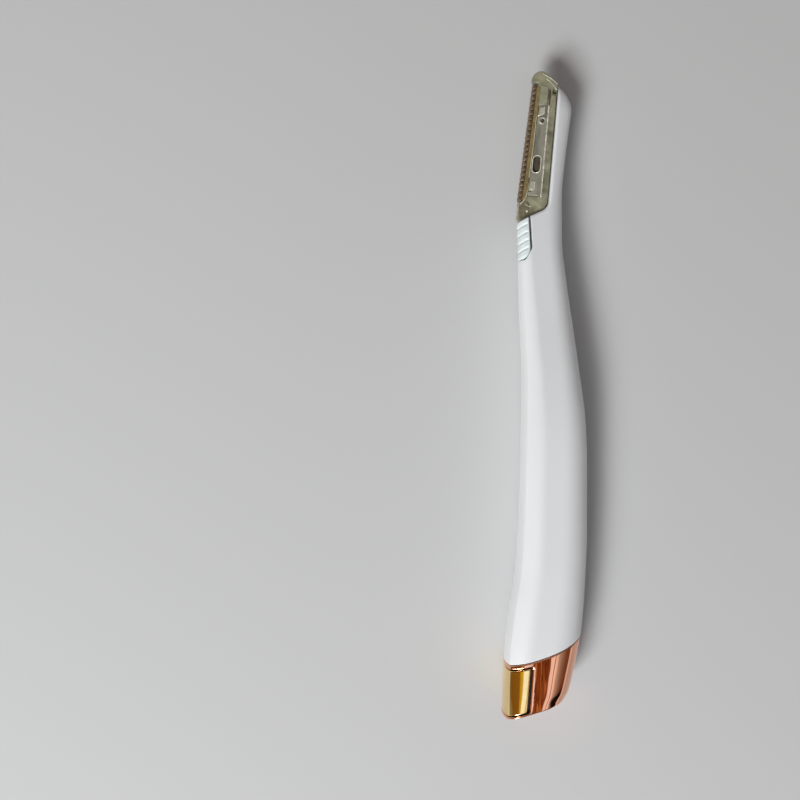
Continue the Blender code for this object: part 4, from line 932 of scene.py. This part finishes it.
def plate(name, loops, top, bottom, radius, step=FILL_STEP):
    """A solid between two height functions of s and t, with holes and rounded rims."""
    loops = [loop if area_of(loop) > 0 else list(reversed(loop)) for loop in loops]
    loops = [dense(loop, run_counts(loop, step)) for loop in loops]
    loops = [loops[0]] + [list(reversed(loop)) for loop in loops[1:]]
    mesh_data = bmesh.new()

    def ring_at(loop, inward, height, drop):
        points = offset_loop(loop, inward)
        return [mesh_data.verts.new(rail_point(s, t, height(s, t) - drop)) for s, t in points]

    for_top = []
    for_bottom = []
    for loop in loops:
        rings = [ring_at(loop, inward, top, drop) for inward, drop in rounding(radius)]
        rings += [ring_at(loop, inward, bottom, -drop) for inward, drop in reversed(rounding(radius))]
        for first, second in zip(rings, rings[1:]):
            strip(mesh_data, first, second)
        for_top += rings[0]
        for_bottom += rings[-1]
    inner = [offset_loop(loop, radius) for loop in loops]
    points = [Vector(point) for loop in inner for point in loop]
    edges = []
    start = 0
    for loop in inner:
        count = len(loop)
        edges += [(start + index, start + (index + 1) % count) for index in range(count)]
        start += count
    high_s, high_t = max(p.x for p in points), max(p.y for p in points)
    first_t = min(p.y for p in points) + step / 2
    clear = [offset_loop(loop, radius + step * FILL_MARGIN) for loop in loops]
    s = min(p.x for p in points) + step / 2
    while s < high_s:
        t = first_t
        while t < high_t:
            if within((s, t), clear[0]) and not any(within((s, t), hole) for hole in clear[1:]):
                points.append(Vector((s, t)))
            t += step
        s += step
    flat, _, faces, originals, _, _ = delaunay_2d_cdt(points, edges, [], 1, SMALLEST_SPLIT)
    for height, known in ((top, for_top), (bottom, for_bottom)):
        verts = []
        for (s, t), sources in zip(flat, originals):
            source = min(sources) if sources else len(known)
            if source < len(known):
                verts.append(known[source])
            else:
                verts.append(mesh_data.verts.new(rail_point(s, t, height(s, t))))
        for face in faces:
            middle = sum((Vector(flat[index]) for index in face), Vector((0.0, 0.0))) / len(face)
            if not any(within(middle, hole) for hole in inner[1:]):
                mesh_data.faces.new([verts[index] for index in face])
    bmesh.ops.delete(mesh_data, geom=[v for v in mesh_data.verts if not v.link_faces], context="VERTS")
    return object_from(name, mesh_data)


def head_outline():
    """The head seen from the side: pointed foot, slanted top with a round bulb."""
    guard_back = GUARD_REACH + HEAD_GAP
    foot_gap = HEAD_GAP / math.cos(POCKET_EDGE_ANGLE)
    points = (
        (HEAD_TOP_S, HEAD_GAP),
        (pocket_edge_s(HEAD_GAP) + foot_gap, HEAD_GAP),
        (pocket_edge_s(HEAD_TIP_T) + foot_gap, HEAD_TIP_T),
        (HEAD_CORNER_S, edge_t(HEAD_CORNER_S) + GUARD_WRAP / 2),
        (HEAD_CORNER_S, edge_t(HEAD_CORNER_S) - guard_back),
        (BULB_S - BULB_RADIUS / 2, edge_t(BULB_S) - guard_back),
    )
    outline = rounded(points, HEAD_RADII)
    for step in range(BULB_STEPS + 1):
        angle = BULB_START - BULB_SWEEP * step / BULB_STEPS
        outline.append((BULB_S + BULB_RADIUS * math.cos(angle), BULB_T + BULB_RADIUS * math.sin(angle)))
    return outline


def cover_front(s):
    return edge_t(s) - COVER_FRONT_BAND


def cover_outline(grow):
    """The cover plate seen from the side, with a notch near each end of its front edge."""
    low, high = COVER_LOW_S - grow, COVER_HIGH_S + grow
    back = COVER_BACK_T - grow
    points = [(low, back), (high, back), (high, cover_front(high) + grow)]
    for center in (COVER_HIGH_S - NOTCH_LENGTH, COVER_LOW_S + NOTCH_LENGTH):
        upper, lower = center + NOTCH_LENGTH / 2 - grow, center - NOTCH_LENGTH / 2 + grow
        for s, depth in ((upper, 0.0), (upper, NOTCH_DEPTH), (lower, NOTCH_DEPTH), (lower, 0.0)):
            points.append((s, cover_front(s) - depth + grow))
    points.append((low, cover_front(low) + grow))
    return rounded(points, COVER_RADII)


def slot_loop(grow):
    half_s = SLOT_LENGTH / 2 + grow
    half_t = SLOT_WIDTH / 2 + grow
    corners = rectangle(SLOT_S - half_s, SLOT_S + half_s, SLOT_T - half_t, SLOT_T + half_t)
    return rounded(corners, half_t * SLOT_ROUNDNESS)


def head_cutter(name, outline, depth):
    """A cutter that leaves a floor at a depth below the head's surface."""
    return plate(name, [outline], lambda s, t: ABOVE_HEAD, raised(-depth), COVER_GAP / 2)


def make_carrier():
    carrier = plate("head_body", [head_outline()], raised(0.0), lambda s, t: -head_half(t), HEAD_ROUND)
    combine(
        carrier, "DIFFERENCE",
        head_cutter("recess", cover_outline(COVER_GAP), COVER_THICKNESS + COVER_GAP),
        rail_way("groove", -FAR, RAIL_END_S + 2 * GAP),
        *(head_cutter("well", rounded(outline, radius), depth) for outline, radius, depth in WELLS),
    )
    dress_head(carrier, "head", "head_carrier")


def dress_head(made, look, *nodes):
    dress(made, look, "head", "smoky_clear", *nodes)


# Details on the head's surface. Heights count from that surface.

BEAD_SIDES = 8
LINE_RADIUS = 0.00009
# Thin pieces: rise above the surface, depth of the foot below it, radius of the rim, mesh step
TAB_FORM = (0.00022, COVER_THICKNESS, 0.00014, 0.0003)
PANEL_FORM = (0.00005, 0.0005, 0.00006, 0.0004)
SEAT_FORM = (0.00008, 0.0005, 0.0001, 0.0004)
# The dark plate in the cover's slot is painted shade.
SLOT_SHADE_FORM = (-0.00071, 0.00101, 0.00008, 0.0004)
SLOT_SHADE_GAP = 0.00004
# Tabs of the cover: low and high end in s, then in t
TABS = {"upper_tab": (0.0212, 0.0232, 0.0030, 0.0041), "lower_tab": (0.0024, 0.0047, 0.0037, 0.0048)}
TAB_CORNER = 0.0004
TAB_LINE_RISE = 0.00016
SLOT_RIM_OUTSET = 0.00008
SLOT_RIM_RISE = 0.00002
SLOT_RIM_RADIUS = 0.00012
# Turned pieces: (rise, radius) points of their profiles
TURN_STEPS = 28
BOSS_S = 0.0198
BOSS_T = 0.00325
BOSS = (
    (-0.0004, 0.00098), (0.00012, 0.00098), (0.00028, 0.00090), (0.00034, 0.00078), (0.00030, 0.00062),
    (0.00016, 0.00050), (0.00004, 0.00040), (0.00012, 0.00024), (0.00016, 0.00008),
)
BORE_SHIFT = 0.0001
BORE = ((0.00004, 0.00046), (0.00020, 0.00046), (0.00023, 0.00036))
DOT_S = -0.0029
DOT_T = 0.0050
DOT = ((-0.0002, 0.00028), (0.00012, 0.00030), (0.00026, 0.00018), (0.0003, 0.00005))
# Inlays: the upper panel, the gaps beside it, painted dark as shade, and the lower corner, in s and t
PANEL_CORNER = 0.00025
PANELS = (
    ("panel_notch", "notch",
     ((0.0216, 0.0048), (0.0280, 0.0048), (0.0284, 0.0053), (0.0230, 0.0053), (0.0216, 0.0054))),
    ("panel_streak", "notch", ((0.0238, 0.0020), (0.0272, 0.0020), (0.0274, 0.0025), (0.0250, 0.0024))),
    ("upper_panel", "panel",
     ((0.0237, 0.0025), (0.0283, 0.0025), (0.0287, 0.0043), (0.0262, 0.0046), (0.0237, 0.0045))),
    ("tan_inlay", "tan",
     ((0.0232, 0.0004), (0.0258, 0.0004), (0.0262, 0.0013), (0.0256, 0.0016), (0.0232, 0.0015))),
    ("corner_inlay", "corner",
     ((-0.0056, 0.0068), (-0.0018, 0.0069), (-0.0002, 0.0056), (-0.0010, 0.0047), (-0.0036, 0.0044))),
)
# Thin raised edges: slanted top, lower curve, foot and the cover's front, pale as painted highlights
EDGE_LINES = {
    "top_edge_outer": ((0.0316, 0.0041), (0.0311, 0.0032), (0.0303, 0.0020), (0.0295, 0.0009),
                       (0.0290, 0.0003)),
    "top_edge_inner": ((0.0302, 0.0031), (0.0297, 0.0024), (0.0285, 0.0012), (0.0276, 0.0003)),
    "lower_curve": ((0.0023, 0.00535), (0.0007, 0.0055), (-0.0003, 0.0061), (-0.0011, 0.0068)),
    "tip_edge": ((-0.0014, 0.00715), (-0.0035, 0.0073), (-0.0060, 0.0072)),
    "foot_glint": ((-0.0012, 0.0055), (-0.0016, 0.0049), (-0.0017, 0.0042)),
    "cover_front_line": ((0.0211, 0.0041), (0.0211, 0.0045), (0.0206, 0.0047), (0.0150, 0.0048),
                         (0.0100, 0.0050), (0.0055, 0.0052)),
}
# The rib's path, and the (height, rate, start) waves of its sway and of its radius
RIB_LOW_S = 0.0006
RIB_HIGH_S = 0.0236
RIB_STEPS = 120
RIB_SHIFT = 0.00006
RIB_RISE = 0.00002
RIB_RADIUS = 0.00019
RIB_SWAY = ((0.00002, 2600, 0.0), (0.00002, 5900, 1.0))
RIB_SWELL = ((0.00004, 61.0, 0.0), (0.00003, 143.0, 0.0))
AMBER_FRONT = 0.00074
AMBER_BACK = 0.00165


def bead(name, look, path, radius, closed=False):
    """A round bead along (s, t, z) points; its radius is a number or a function of the share."""
    points = [rail_point(*point) for point in path]
    last = len(points) - 1
    rings = []
    for index, point in enumerate(points):
        ahead = points[(index + 1) % len(points)] if closed else points[min(index + 1, last)]
        behind = points[index - 1] if closed else points[max(index - 1, 0)]
        along = (ahead - behind).normalized()
        across = along.cross(Vector((0.0, 0.0, 1.0))).normalized()
        rise = across.cross(along)
        swell = radius(index / last) if callable(radius) else radius
        rings.append([
            point + swell * (math.cos(angle) * across + math.sin(angle) * rise)
            for angle in turns(BEAD_SIDES)
        ])
    dress_head(skin(name, rings, closed), look)


def on_head(points, rise):
    return [(s, t, head_half(t) + rise) for s, t in points]


def thin(name, look, outline, rise, depth, radius, step):
    """A thin piece in the head's surface."""
    dress_head(plate(name, [outline], raised(rise), raised(-depth), radius, step), look)


def turned(name, look, s, t, base, profile):
    """A (rise, radius) profile turned about a line along z, on a base height."""
    rings = []
    for rise, radius in profile:
        rings.append([
            rail_point(s + radius * math.cos(angle), t + radius * math.sin(angle), base + rise)
            for angle in turns(TURN_STEPS)
        ])
    dress_head(skin(name, rings), look)


def make_cover():
    """The cover plate with its tabs, its boss and the rim of its slot; the tabs' edge lines and the slot's
    rim are pale painted highlights, and the boss's bore is painted shade.
    """
    loops = [cover_outline(0.0), slot_loop(0.0)]
    cover = plate("head_cover_plate", loops, raised(0.0), raised(-COVER_THICKNESS), COVER_ROUND)
    dress_head(cover, "cover", "head_cover")
    for name, (low_s, high_s, low_t, high_t) in TABS.items():
        outline = rounded(rectangle(low_s, high_s, low_t, high_t), TAB_CORNER)
        thin(name, "pale", outline, *TAB_FORM)
        edge = ((high_s, low_t), (low_s + TAB_CORNER, low_t), (low_s, low_t + TAB_CORNER), (low_s, high_t))
        bead(name + "_edge", "edge_glint", on_head(edge, TAB_LINE_RISE), LINE_RADIUS)
    base = head_half(BOSS_T)
    turned("cover_boss", "pale", BOSS_S, BOSS_T, base, BOSS)
    # The bore is a dark plug set off the boss's centre: painted shade inside the boss.
    turned("boss_bore_shade", "shade_in_holes", BOSS_S - BORE_SHIFT, BOSS_T - BORE_SHIFT, base, BORE)
    rim = on_head(slot_loop(SLOT_RIM_OUTSET), SLOT_RIM_RISE)
    bead("slot_rim", "edge_glint", rim, SLOT_RIM_RADIUS, closed=True)


def make_inlays():
    """The panels in the head's surface, and a dark plate that shows through the cover's slot, painted shade
    down in it.
    """
    for name, look, outline in PANELS:
        thin(name, look, rounded(outline, PANEL_CORNER), *PANEL_FORM)
    thin("slot_shade_plate", "shade_in_holes", slot_loop(-SLOT_SHADE_GAP), *SLOT_SHADE_FORM)


def make_edge_lines():
    """The raised edges, and the glint on the foot, all pale beads that are painted highlights."""
    for name, points in EDGE_LINES.items():
        bead(name, "edge_glint", on_head(points, 0.0), LINE_RADIUS)
    turned("foot_dot", "edge_glint", DOT_S, DOT_T, head_half(DOT_T), DOT)


def waves(value, terms):
    return sum(height * math.sin(value * rate + start) for height, rate, start in terms)


def make_rib():
    """The wavy bead between the head's back strip and its cover plate; its pale colour paints the highlight
    along it.
    """
    level = head_half(COVER_BACK_T) + RIB_RISE
    path = []
    for s in spaced(RIB_LOW_S, RIB_HIGH_S, RIB_STEPS):
        path.append((s, COVER_BACK_T + RIB_SHIFT + waves(s, RIB_SWAY), level))
    bead("head_rib", "rib_glint", path, lambda share: RIB_RADIUS + waves(share, RIB_SWELL))


def make_blade_seat():
    """The amber strip of the blade seat between the cover plate and the guard."""
    low, high = 0.0, BULB_S - BULB_RADIUS
    outline = (
        (low, edge_t(low) - AMBER_BACK), (high, edge_t(high) - AMBER_BACK),
        (high, edge_t(high) - AMBER_FRONT), (low, edge_t(low) - AMBER_FRONT),
    )
    thin("blade_seat", "amber", outline, *SEAT_FORM)


# Guard

GUARD_HALF = 0.0009
TOOTH_PITCH = 0.0013
TOOTH_WIDTH = 0.00122
TOOTH_THICKNESS = 0.00036
TOOTH_SIDES = 10
TOOTH_TAPER = 0.8
ACROSS_POWER = 0.8
OUT_POWER = 0.9
BEND_SHARE = 0.75
BEND_STEPS = 5
BAND_LOW = GUARD_HALF - TOOTH_THICKNESS * 0.75
BAND_HIGH = GUARD_HALF - TOOTH_THICKNESS * 0.2
BAND_WIDTH = 0.0002
BAND_BEVEL = 0.00008


def tooth_path(s):
    """Points (t, z) of a tooth's centre line: over the top, round the edge and back below."""
    back = edge_t(s) - GUARD_REACH + TOOTH_THICKNESS / 2
    front = edge_t(s) + GUARD_WRAP - TOOTH_THICKNESS / 2
    level = GUARD_HALF - TOOTH_THICKNESS / 2
    bend = level * BEND_SHARE
    upper = [(back, level), ((back + front) / 2, level), (front - bend, level)]
    for step in range(1, BEND_STEPS + 1):
        angle = math.pi / 2 * (1 - step / BEND_STEPS)
        upper.append((front - bend + bend * math.cos(angle), level * math.sin(angle)))
    return upper + [(t, -z) for t, z in reversed(upper[:-1])]


def bulged(value, power):
    return math.copysign(abs(value) ** power, value)


def tooth_rings(s):
    path = tooth_path(s)
    rings = []
    last = len(path) - 1
    for index, (t, z) in enumerate(path):
        ahead, behind = path[min(index + 1, last)], path[max(index - 1, 0)]
        along = Vector((ahead[0] - behind[0], ahead[1] - behind[1])).normalized()
        taper = TOOTH_TAPER if index in (0, last) else 1.0
        ring = []
        for angle in turns(TOOTH_SIDES, 0.5):
            across = TOOTH_WIDTH / 2 * taper * bulged(math.cos(angle), ACROSS_POWER)
            out = TOOTH_THICKNESS / 2 * taper * bulged(math.sin(angle), OUT_POWER)
            ring.append(rail_point(s + across, t - along.y * out, z + along.x * out))
        rings.append(ring)
    return rings


def make_guard():
    """Folded comb round the blade's edge: a row of teeth held by a band on each side."""
    mesh_data = bmesh.new()
    first = HEAD_CORNER_S + GAP + TOOTH_WIDTH / 2
    last = BULB_S - BULB_RADIUS / 2 - GAP - TOOTH_WIDTH / 2
    for s in spaced(first, last, round((last - first) / TOOTH_PITCH)):
        tube(mesh_data, tooth_rings(s))
    for side in (1, -1):
        rings = []
        for s in (first - TOOTH_WIDTH / 2, last + TOOTH_WIDTH / 2):
            back = edge_t(s) - GUARD_REACH
            front = back + BAND_WIDTH
            corners = (
                (back, BAND_LOW), (front, BAND_LOW), (front, BAND_HIGH),
                (back + BAND_BEVEL, BAND_HIGH), (back, BAND_HIGH - BAND_BEVEL),
            )
            rings.append([rail_point(s, t, side * z) for t, z in corners])
        tube(mesh_data, rings)
    dress(object_from("comb_guard", mesh_data), "guard", "head", "etched_steel", "blade_guard")


# Materials

DRIFT_DETAIL = 4.0
DRIFT_STOPS = (0.3, 0.7)
ROUGHNESS_DRIFT = 0.15


def feed(tree, node, inputs):
    """Gives each of a node's inputs a value, or a link from another node's output."""
    for key, value in inputs.items():
        if isinstance(value, bpy.types.NodeSocket):
            tree.links.new(value, node.inputs[key])
        else:
            node.inputs[key].default_value = value
    return node


def surface(name, color, roughness, metallic=0.0, transmission=0.0, coat=0.0, coat_roughness=0.1,
            spread=0.05, patch=0.004, grain=0.0003, height=0.000004, stretch=(1.0, 1.0, 1.0), detail=3.0):
    """A procedural material: drifting colour and roughness, and a fine grain in the bump."""
    made = bpy.data.materials.new(name)
    made.use_nodes = True
    tree = made.node_tree

    def added(kind, inputs):
        return feed(tree, tree.nodes.new(kind), inputs)

    coordinates = tree.nodes.new("ShaderNodeTexCoord").outputs["Object"]
    place = added("ShaderNodeVectorMath", {0: coordinates, 1: stretch})
    place.operation = "MULTIPLY"
    point = place.outputs["Vector"]
    drift = added("ShaderNodeTexNoise", {"Vector": point, "Scale": 1 / patch, "Detail": DRIFT_DETAIL})
    fine = added("ShaderNodeTexNoise", {"Vector": point, "Scale": 1 / grain, "Detail": detail})
    ramp = added("ShaderNodeValToRGB", {"Fac": drift.outputs["Fac"]})
    for stop, position, factor in zip(ramp.color_ramp.elements, DRIFT_STOPS, (1 - spread, 1 + spread)):
        stop.position = position
        stop.color = (*(min(1.0, channel * factor) for channel in color), 1.0)
    dull = added("ShaderNodeMapRange", {
        "Value": drift.outputs["Fac"], "To Min": roughness * (1 - ROUGHNESS_DRIFT),
        "To Max": roughness * (1 + ROUGHNESS_DRIFT),
    })
    bump = added("ShaderNodeBump", {"Strength": 1.0, "Distance": height, "Height": fine.outputs["Fac"]})
    feed(tree, tree.nodes["Principled BSDF"], {
        "Base Color": ramp.outputs["Color"], "Roughness": dull.outputs["Result"],
        "Normal": bump.outputs["Normal"], "Metallic": metallic, "Transmission Weight": transmission,
        "Coat Weight": coat, "Coat Roughness": coat_roughness,
    })
    return made


SURFACES = {
    "white": surface("satin_white", (0.79, 0.80, 0.81), 0.42, coat=0.25, coat_roughness=0.30, spread=0.015,
                     patch=0.02, grain=0.00025, height=0.0000012),
    "slider": surface("cool_white", (0.74, 0.80, 0.80), 0.36, spread=0.03, grain=0.0002),
    "copper": surface("rose_gold", (0.86, 0.45, 0.30), 0.03, metallic=1.0, spread=0.07, patch=0.0016,
                      grain=0.0012, height=0.00001, stretch=(1.0, 0.12, 1.0), detail=0.0),
    "gold": surface("yellow_gold", (0.94, 0.69, 0.31), 0.04, metallic=1.0, spread=0.06, patch=0.002,
                    grain=0.0011, height=0.0000012),
    "head": surface("smoky_clear", (0.35, 0.335, 0.225), 0.16, transmission=0.3, spread=0.40, patch=0.0022,
                    grain=0.0012, height=0.00002),
    "cover": surface("smoky_cover", (0.35, 0.335, 0.27), 0.13, transmission=0.3, spread=0.40, patch=0.0028,
                     grain=0.0014, height=0.00002, stretch=(1.0, 0.3, 1.0)),
    "pale": surface("clear_pale", (0.56, 0.54, 0.44), 0.14, transmission=0.3, spread=0.15, patch=0.0012),
    # Pale bead colour: painted highlights along the head's raised edges, rims and foot dot.
    "edge_glint": surface("painted_edge_glint", (0.76, 0.73, 0.60), 0.1, transmission=0.1, spread=0.25, patch=0.0008),
    # The rib is real; its pale colour is a painted highlight along it.
    "rib_glint": surface("rib_painted_glint", (0.70, 0.67, 0.56), 0.12, transmission=0.1, spread=0.45, patch=0.0006),
    # Dark colour of the slot's plate and the boss's bore: painted shade in holes.
    "shade_in_holes": surface("slot_shade", (0.085, 0.07, 0.05), 0.3, transmission=0.1, spread=0.3, patch=0.0012),
    # Dark colour of the gaps beside the upper panel: painted shade.
    "notch": surface("notch_shade", (0.13, 0.095, 0.045), 0.3, transmission=0.1, spread=0.4, patch=0.0009),
    "amber": surface("amber_seat", (0.27, 0.205, 0.09), 0.18, transmission=0.2, spread=0.25, patch=0.0012),
    "panel": surface("panel_clear", (0.38, 0.38, 0.27), 0.18, transmission=0.3, spread=0.25, patch=0.0016),
    "tan": surface("inlay_tan", (0.45, 0.39, 0.25), 0.18, transmission=0.3, spread=0.2, patch=0.0012),
    "corner": surface("inlay_brown", (0.24, 0.21, 0.14), 0.18, transmission=0.3, spread=0.3, patch=0.0014),
    "guard": surface("etched_steel", (0.26, 0.19, 0.125), 0.28, metallic=0.5, spread=0.3, patch=0.0009,
                     grain=0.00025, height=0.00001),
    # Dark colour of the frame behind the key's gap: painted shade.
    "shade_behind_key": surface("painted_key_gap_shade", (0.035, 0.026, 0.02), 0.5, spread=0.2, patch=0.002),
}
FINISH_SPREAD = 0.08
FINISH_PATCH = 0.002
# Finishes of the CAD nodes that are kept: colour, roughness, metallic, and the nodes
FINISHES = {
    "rail_white": ((0.66, 0.67, 0.66), 0.4, 0.0, "head_rail"),
    "cell_sleeve": ((0.10, 0.12, 0.16), 0.3, 0.0, "battery_cell"),
    "grey_plastic": ((0.22, 0.23, 0.24), 0.5, 0.0, "battery_cradle cap_core"),
    "contact_brass": ((0.78, 0.60, 0.30), 0.28, 1.0,
                      "positive_contact negative_strip cap_contact cap_leaf"),
    "board_green": ((0.05, 0.24, 0.12), 0.4, 0.0, "driver_board led_board switch_board"),
    "ferrite_grey": ((0.12, 0.11, 0.11), 0.6, 0.0, "boost_inductor"),
    "chip_black": ((0.03, 0.03, 0.03), 0.45, 0.0, "driver_chip key_switch"),
    "capacitor_tan": ((0.50, 0.38, 0.24), 0.4, 0.0, "board_capacitor"),
    "bright_steel": ((0.66, 0.66, 0.68), 0.25, 1.0,
                     "board_screw_1 board_screw_2 slider_spring negative_spring"),
    "clear_plastic": ((0.86, 0.90, 0.90), 0.08, 0.0, "light_window"),
    "led_lens": ((0.90, 0.86, 0.60), 0.2, 0.0, "led"),
    "wire_red": ((0.55, 0.03, 0.02), 0.4, 0.0, "led_wire_red"),
    "wire_black": ((0.02, 0.02, 0.02), 0.4, 0.0, "led_wire_black"),
    "polished_steel": ((0.38, 0.33, 0.28), 0.24, 1.0, "blade"),
}


def dress_kept_nodes():
    for finish, (color, roughness, metallic, nodes) in FINISHES.items():
        made = surface(
            finish + "_look", color, roughness, metallic, spread=FINISH_SPREAD, patch=FINISH_PATCH
        )
        for node in nodes.split():
            NODES[node].data.materials.clear()
            NODES[node].data.materials.append(made)


make_shell("upper_shell", 1, "right_shell")
make_shell("lower_shell", -1, "left_shell")
make_cap()
make_key()
make_key_gap_shade()
make_slider()
make_carrier()
make_cover()
make_inlays()
make_edge_lines()
make_rib()
make_blade_seat()
make_guard()
dress_kept_nodes()

# Floor, light and camera

FLOOR_SIZE = 2.0
FLOOR_PARTS = 8
FLOOR_DROP = 0.0001
FLOOR_LOOK = {"Base Color": (0.62, 0.62, 0.62, 1.0), "Roughness": 0.9, "Specular IOR Level": 0.1}
LAMP_PLACE = Vector((-0.52, -0.69, 0.77))
LAMP_SIZE = 0.42
LAMP_POWER = 13.1
LAMP_COLOR = (0.95, 0.98, 1.0)
CAMERA_PLACE = Vector((-0.0363, -0.0020, LIFT + 0.220))
CAMERA_LENS = 39.25
SENSOR = 36.0
CLIP_START = 0.01
CLIP_END = 20.0
# The studio round the tool, as (degrees from overhead toward +X, colour) points: bright above,
# darker and warmer low on both sides
SKY = (
    (-90, (0.30, 0.29, 0.27)), (-68, (0.25, 0.21, 0.16)), (-60, (0.20, 0.10, 0.02)),
    (-34, (0.23, 0.11, 0.015)), (-29, (0.56, 0.34, 0.03)), (-23, (0.60, 0.38, 0.05)),
    (-19, (1.00, 1.10, 1.30)), (-6, (1.00, 1.08, 1.22)), (3, (0.86, 0.88, 0.92)),
    (14, (0.95, 0.93, 0.93)), (19.2, (0.96, 0.94, 0.93)), (19.9, (0.22, 0.09, 0.06)),
    (21.0, (0.22, 0.09, 0.06)), (21.7, (0.96, 0.94, 0.93)), (26, (0.98, 0.94, 0.92)),
    (32, (0.52, 0.46, 0.42)), (46, (0.26, 0.21, 0.18)), (60, (0.19, 0.09, 0.045)),
    (84, (0.17, 0.08, 0.04)), (90, (0.24, 0.19, 0.16)),
)
# The panels overhead hang below the tool's foot, and the studio is dimmer beside them
PANEL_Y = -0.29
PANEL_HALF_Y = 0.12
PANEL_SOFT = 0.08
BESIDE_COLORS = (
    (0.0, (0.34, 0.34, 0.34)), (0.45, (0.30, 0.30, 0.30)), (0.70, (0.07, 0.07, 0.07)),
    (1.0, (0.05, 0.05, 0.05)),
)
BESIDE_LOW = math.radians(-60.0)
BESIDE_HIGH = math.radians(40.0)
HORIZON = (0.72, 0.72, 0.72, 1.0)
HORIZON_LOW = 0.175
HORIZON_HIGH = 0.21
# The dark gap overhead that the photographer stands in
GAP_COLORS = (
    (0.0, (0.30, 0.11, 0.03)), (0.40, (0.28, 0.10, 0.03)), (0.47, (0.13, 0.04, 0.01)),
    (0.525, (0.16, 0.05, 0.013)), (0.55, (0.66, 0.32, 0.11)), (0.58, (0.50, 0.22, 0.07)),
    (0.61, (0.15, 0.045, 0.012)), (0.66, (0.11, 0.035, 0.008)), (0.71, (0.30, 0.12, 0.04)),
    (1.0, (0.18, 0.06, 0.02)),
)
GAP_ANGLE = math.radians(8.9)
GAP_HALF_ANGLE = math.radians(2.4)
GAP_Y = -0.30
GAP_HALF_Y = 0.30
GAP_SOFT_SHARE = 0.25


def make_floor():
    mesh_data = bmesh.new()
    bmesh.ops.create_grid(mesh_data, x_segments=FLOOR_PARTS, y_segments=FLOOR_PARTS, size=FLOOR_SIZE)
    bmesh.ops.translate(mesh_data, verts=mesh_data.verts, vec=(0.0, 0.0, -FLOOR_DROP - LIFT))
    floor = object_from("floor", mesh_data)
    made = bpy.data.materials.new("floor_paper")
    made.use_nodes = True
    feed(made.node_tree, made.node_tree.nodes["Principled BSDF"], FLOOR_LOOK)
    floor.data.materials.append(made)


def make_lamp():
    """The square window light, turned to the tool."""
    data = bpy.data.lights.new("window", "AREA")
    data.shape = "RECTANGLE"
    data.size = data.size_y = LAMP_SIZE
    data.energy = LAMP_POWER
    data.color = LAMP_COLOR
    lamp = placed("window", data, LAMP_PLACE)
    lamp.rotation_mode = "QUATERNION"
    lamp.rotation_quaternion = (-LAMP_PLACE).to_track_quat("-Z", "Y")


def calculated(tree, operation, *values):
    """The output of a maths node on numbers or other nodes' outputs."""
    node = tree.nodes.new("ShaderNodeMath")
    node.operation = operation
    return feed(tree, node, dict(enumerate(values))).outputs[0]


def ranged(tree, value, low, high, curve="SMOOTHSTEP"):
    """How far a value is on its way from low to high."""
    node = tree.nodes.new("ShaderNodeMapRange")
    node.interpolation_type = curve
    return feed(tree, node, {"Value": value, "From Min": low, "From Max": high}).outputs["Result"]


def away_from(tree, value, middle, half, soft):
    """0 within half of the middle value, 1 beyond it."""
    distance = calculated(tree, "ABSOLUTE", calculated(tree, "SUBTRACT", value, middle))
    return ranged(tree, distance, half, half + soft)


def blended(tree, share, first, second, kind="MIX"):
    """Goes from the first colour to the second, which may be multiplied instead."""
    mix = tree.nodes.new("ShaderNodeMix")
    mix.data_type = "RGBA"
    mix.blend_type = kind
    return feed(tree, mix, {"Factor": share, "A": first, "B": second}).outputs["Result"]


def ramped(tree, value, low, high, colors):
    """The colour at a value between two limits, from (share, colour) points."""
    share = ranged(tree, value, low, high, "LINEAR")
    ramp = feed(tree, tree.nodes.new("ShaderNodeValToRGB"), {"Fac": share})
    stops = ramp.color_ramp.elements
    while len(stops) < len(colors):
        stops.new(0.5)
    for stop, (place, color) in zip(stops, colors):
        stop.position = place
        stop.color = (*color, 1.0)
    return ramp.outputs["Color"]


def make_world():
    world = bpy.data.worlds.new("studio")
    world.use_nodes = True
    tree = world.node_tree
    direction = tree.nodes.new("ShaderNodeTexCoord").outputs["Generated"]
    parts = feed(tree, tree.nodes.new("ShaderNodeSeparateXYZ"), {0: direction}).outputs
    angle = calculated(tree, "ARCTAN2", parts["X"], parts["Z"])
    low, high = SKY[0][0], SKY[-1][0]
    around = [((degrees - low) / (high - low), color) for degrees, color in SKY]
    sky = ramped(tree, angle, math.radians(low), math.radians(high), around)
    beside = ramped(tree, angle, BESIDE_LOW, BESIDE_HIGH, BESIDE_COLORS)
    side = away_from(tree, parts["Y"], PANEL_Y, PANEL_HALF_Y, PANEL_SOFT)
    dimmed = blended(tree, side, sky, beside, "MULTIPLY")
    gap = ramped(tree, angle, GAP_ANGLE - GAP_HALF_ANGLE, GAP_ANGLE + GAP_HALF_ANGLE, GAP_COLORS)
    outside = calculated(
        tree, "MAXIMUM",
        away_from(tree, angle, GAP_ANGLE, GAP_HALF_ANGLE, GAP_HALF_ANGLE * GAP_SOFT_SHARE),
        away_from(tree, parts["Y"], GAP_Y, GAP_HALF_Y, GAP_HALF_Y * GAP_SOFT_SHARE),
    )
    height = ranged(tree, parts["Z"], HORIZON_LOW, HORIZON_HIGH)
    colored = blended(tree, height, HORIZON, blended(tree, outside, gap, dimmed))
    tree.links.new(colored, tree.nodes["Background"].inputs["Color"])
    bpy.context.scene.world = world


def make_camera():
    data = bpy.data.cameras.new("photo_view")
    data.lens = CAMERA_LENS
    data.sensor_width = SENSOR
    data.clip_start = CLIP_START
    data.clip_end = CLIP_END
    bpy.context.scene.camera = placed("photo_view", data, CAMERA_PLACE)


make_floor()
make_world()
make_lamp()
make_camera()
bpy.context.scene.view_settings.view_transform = "Standard"
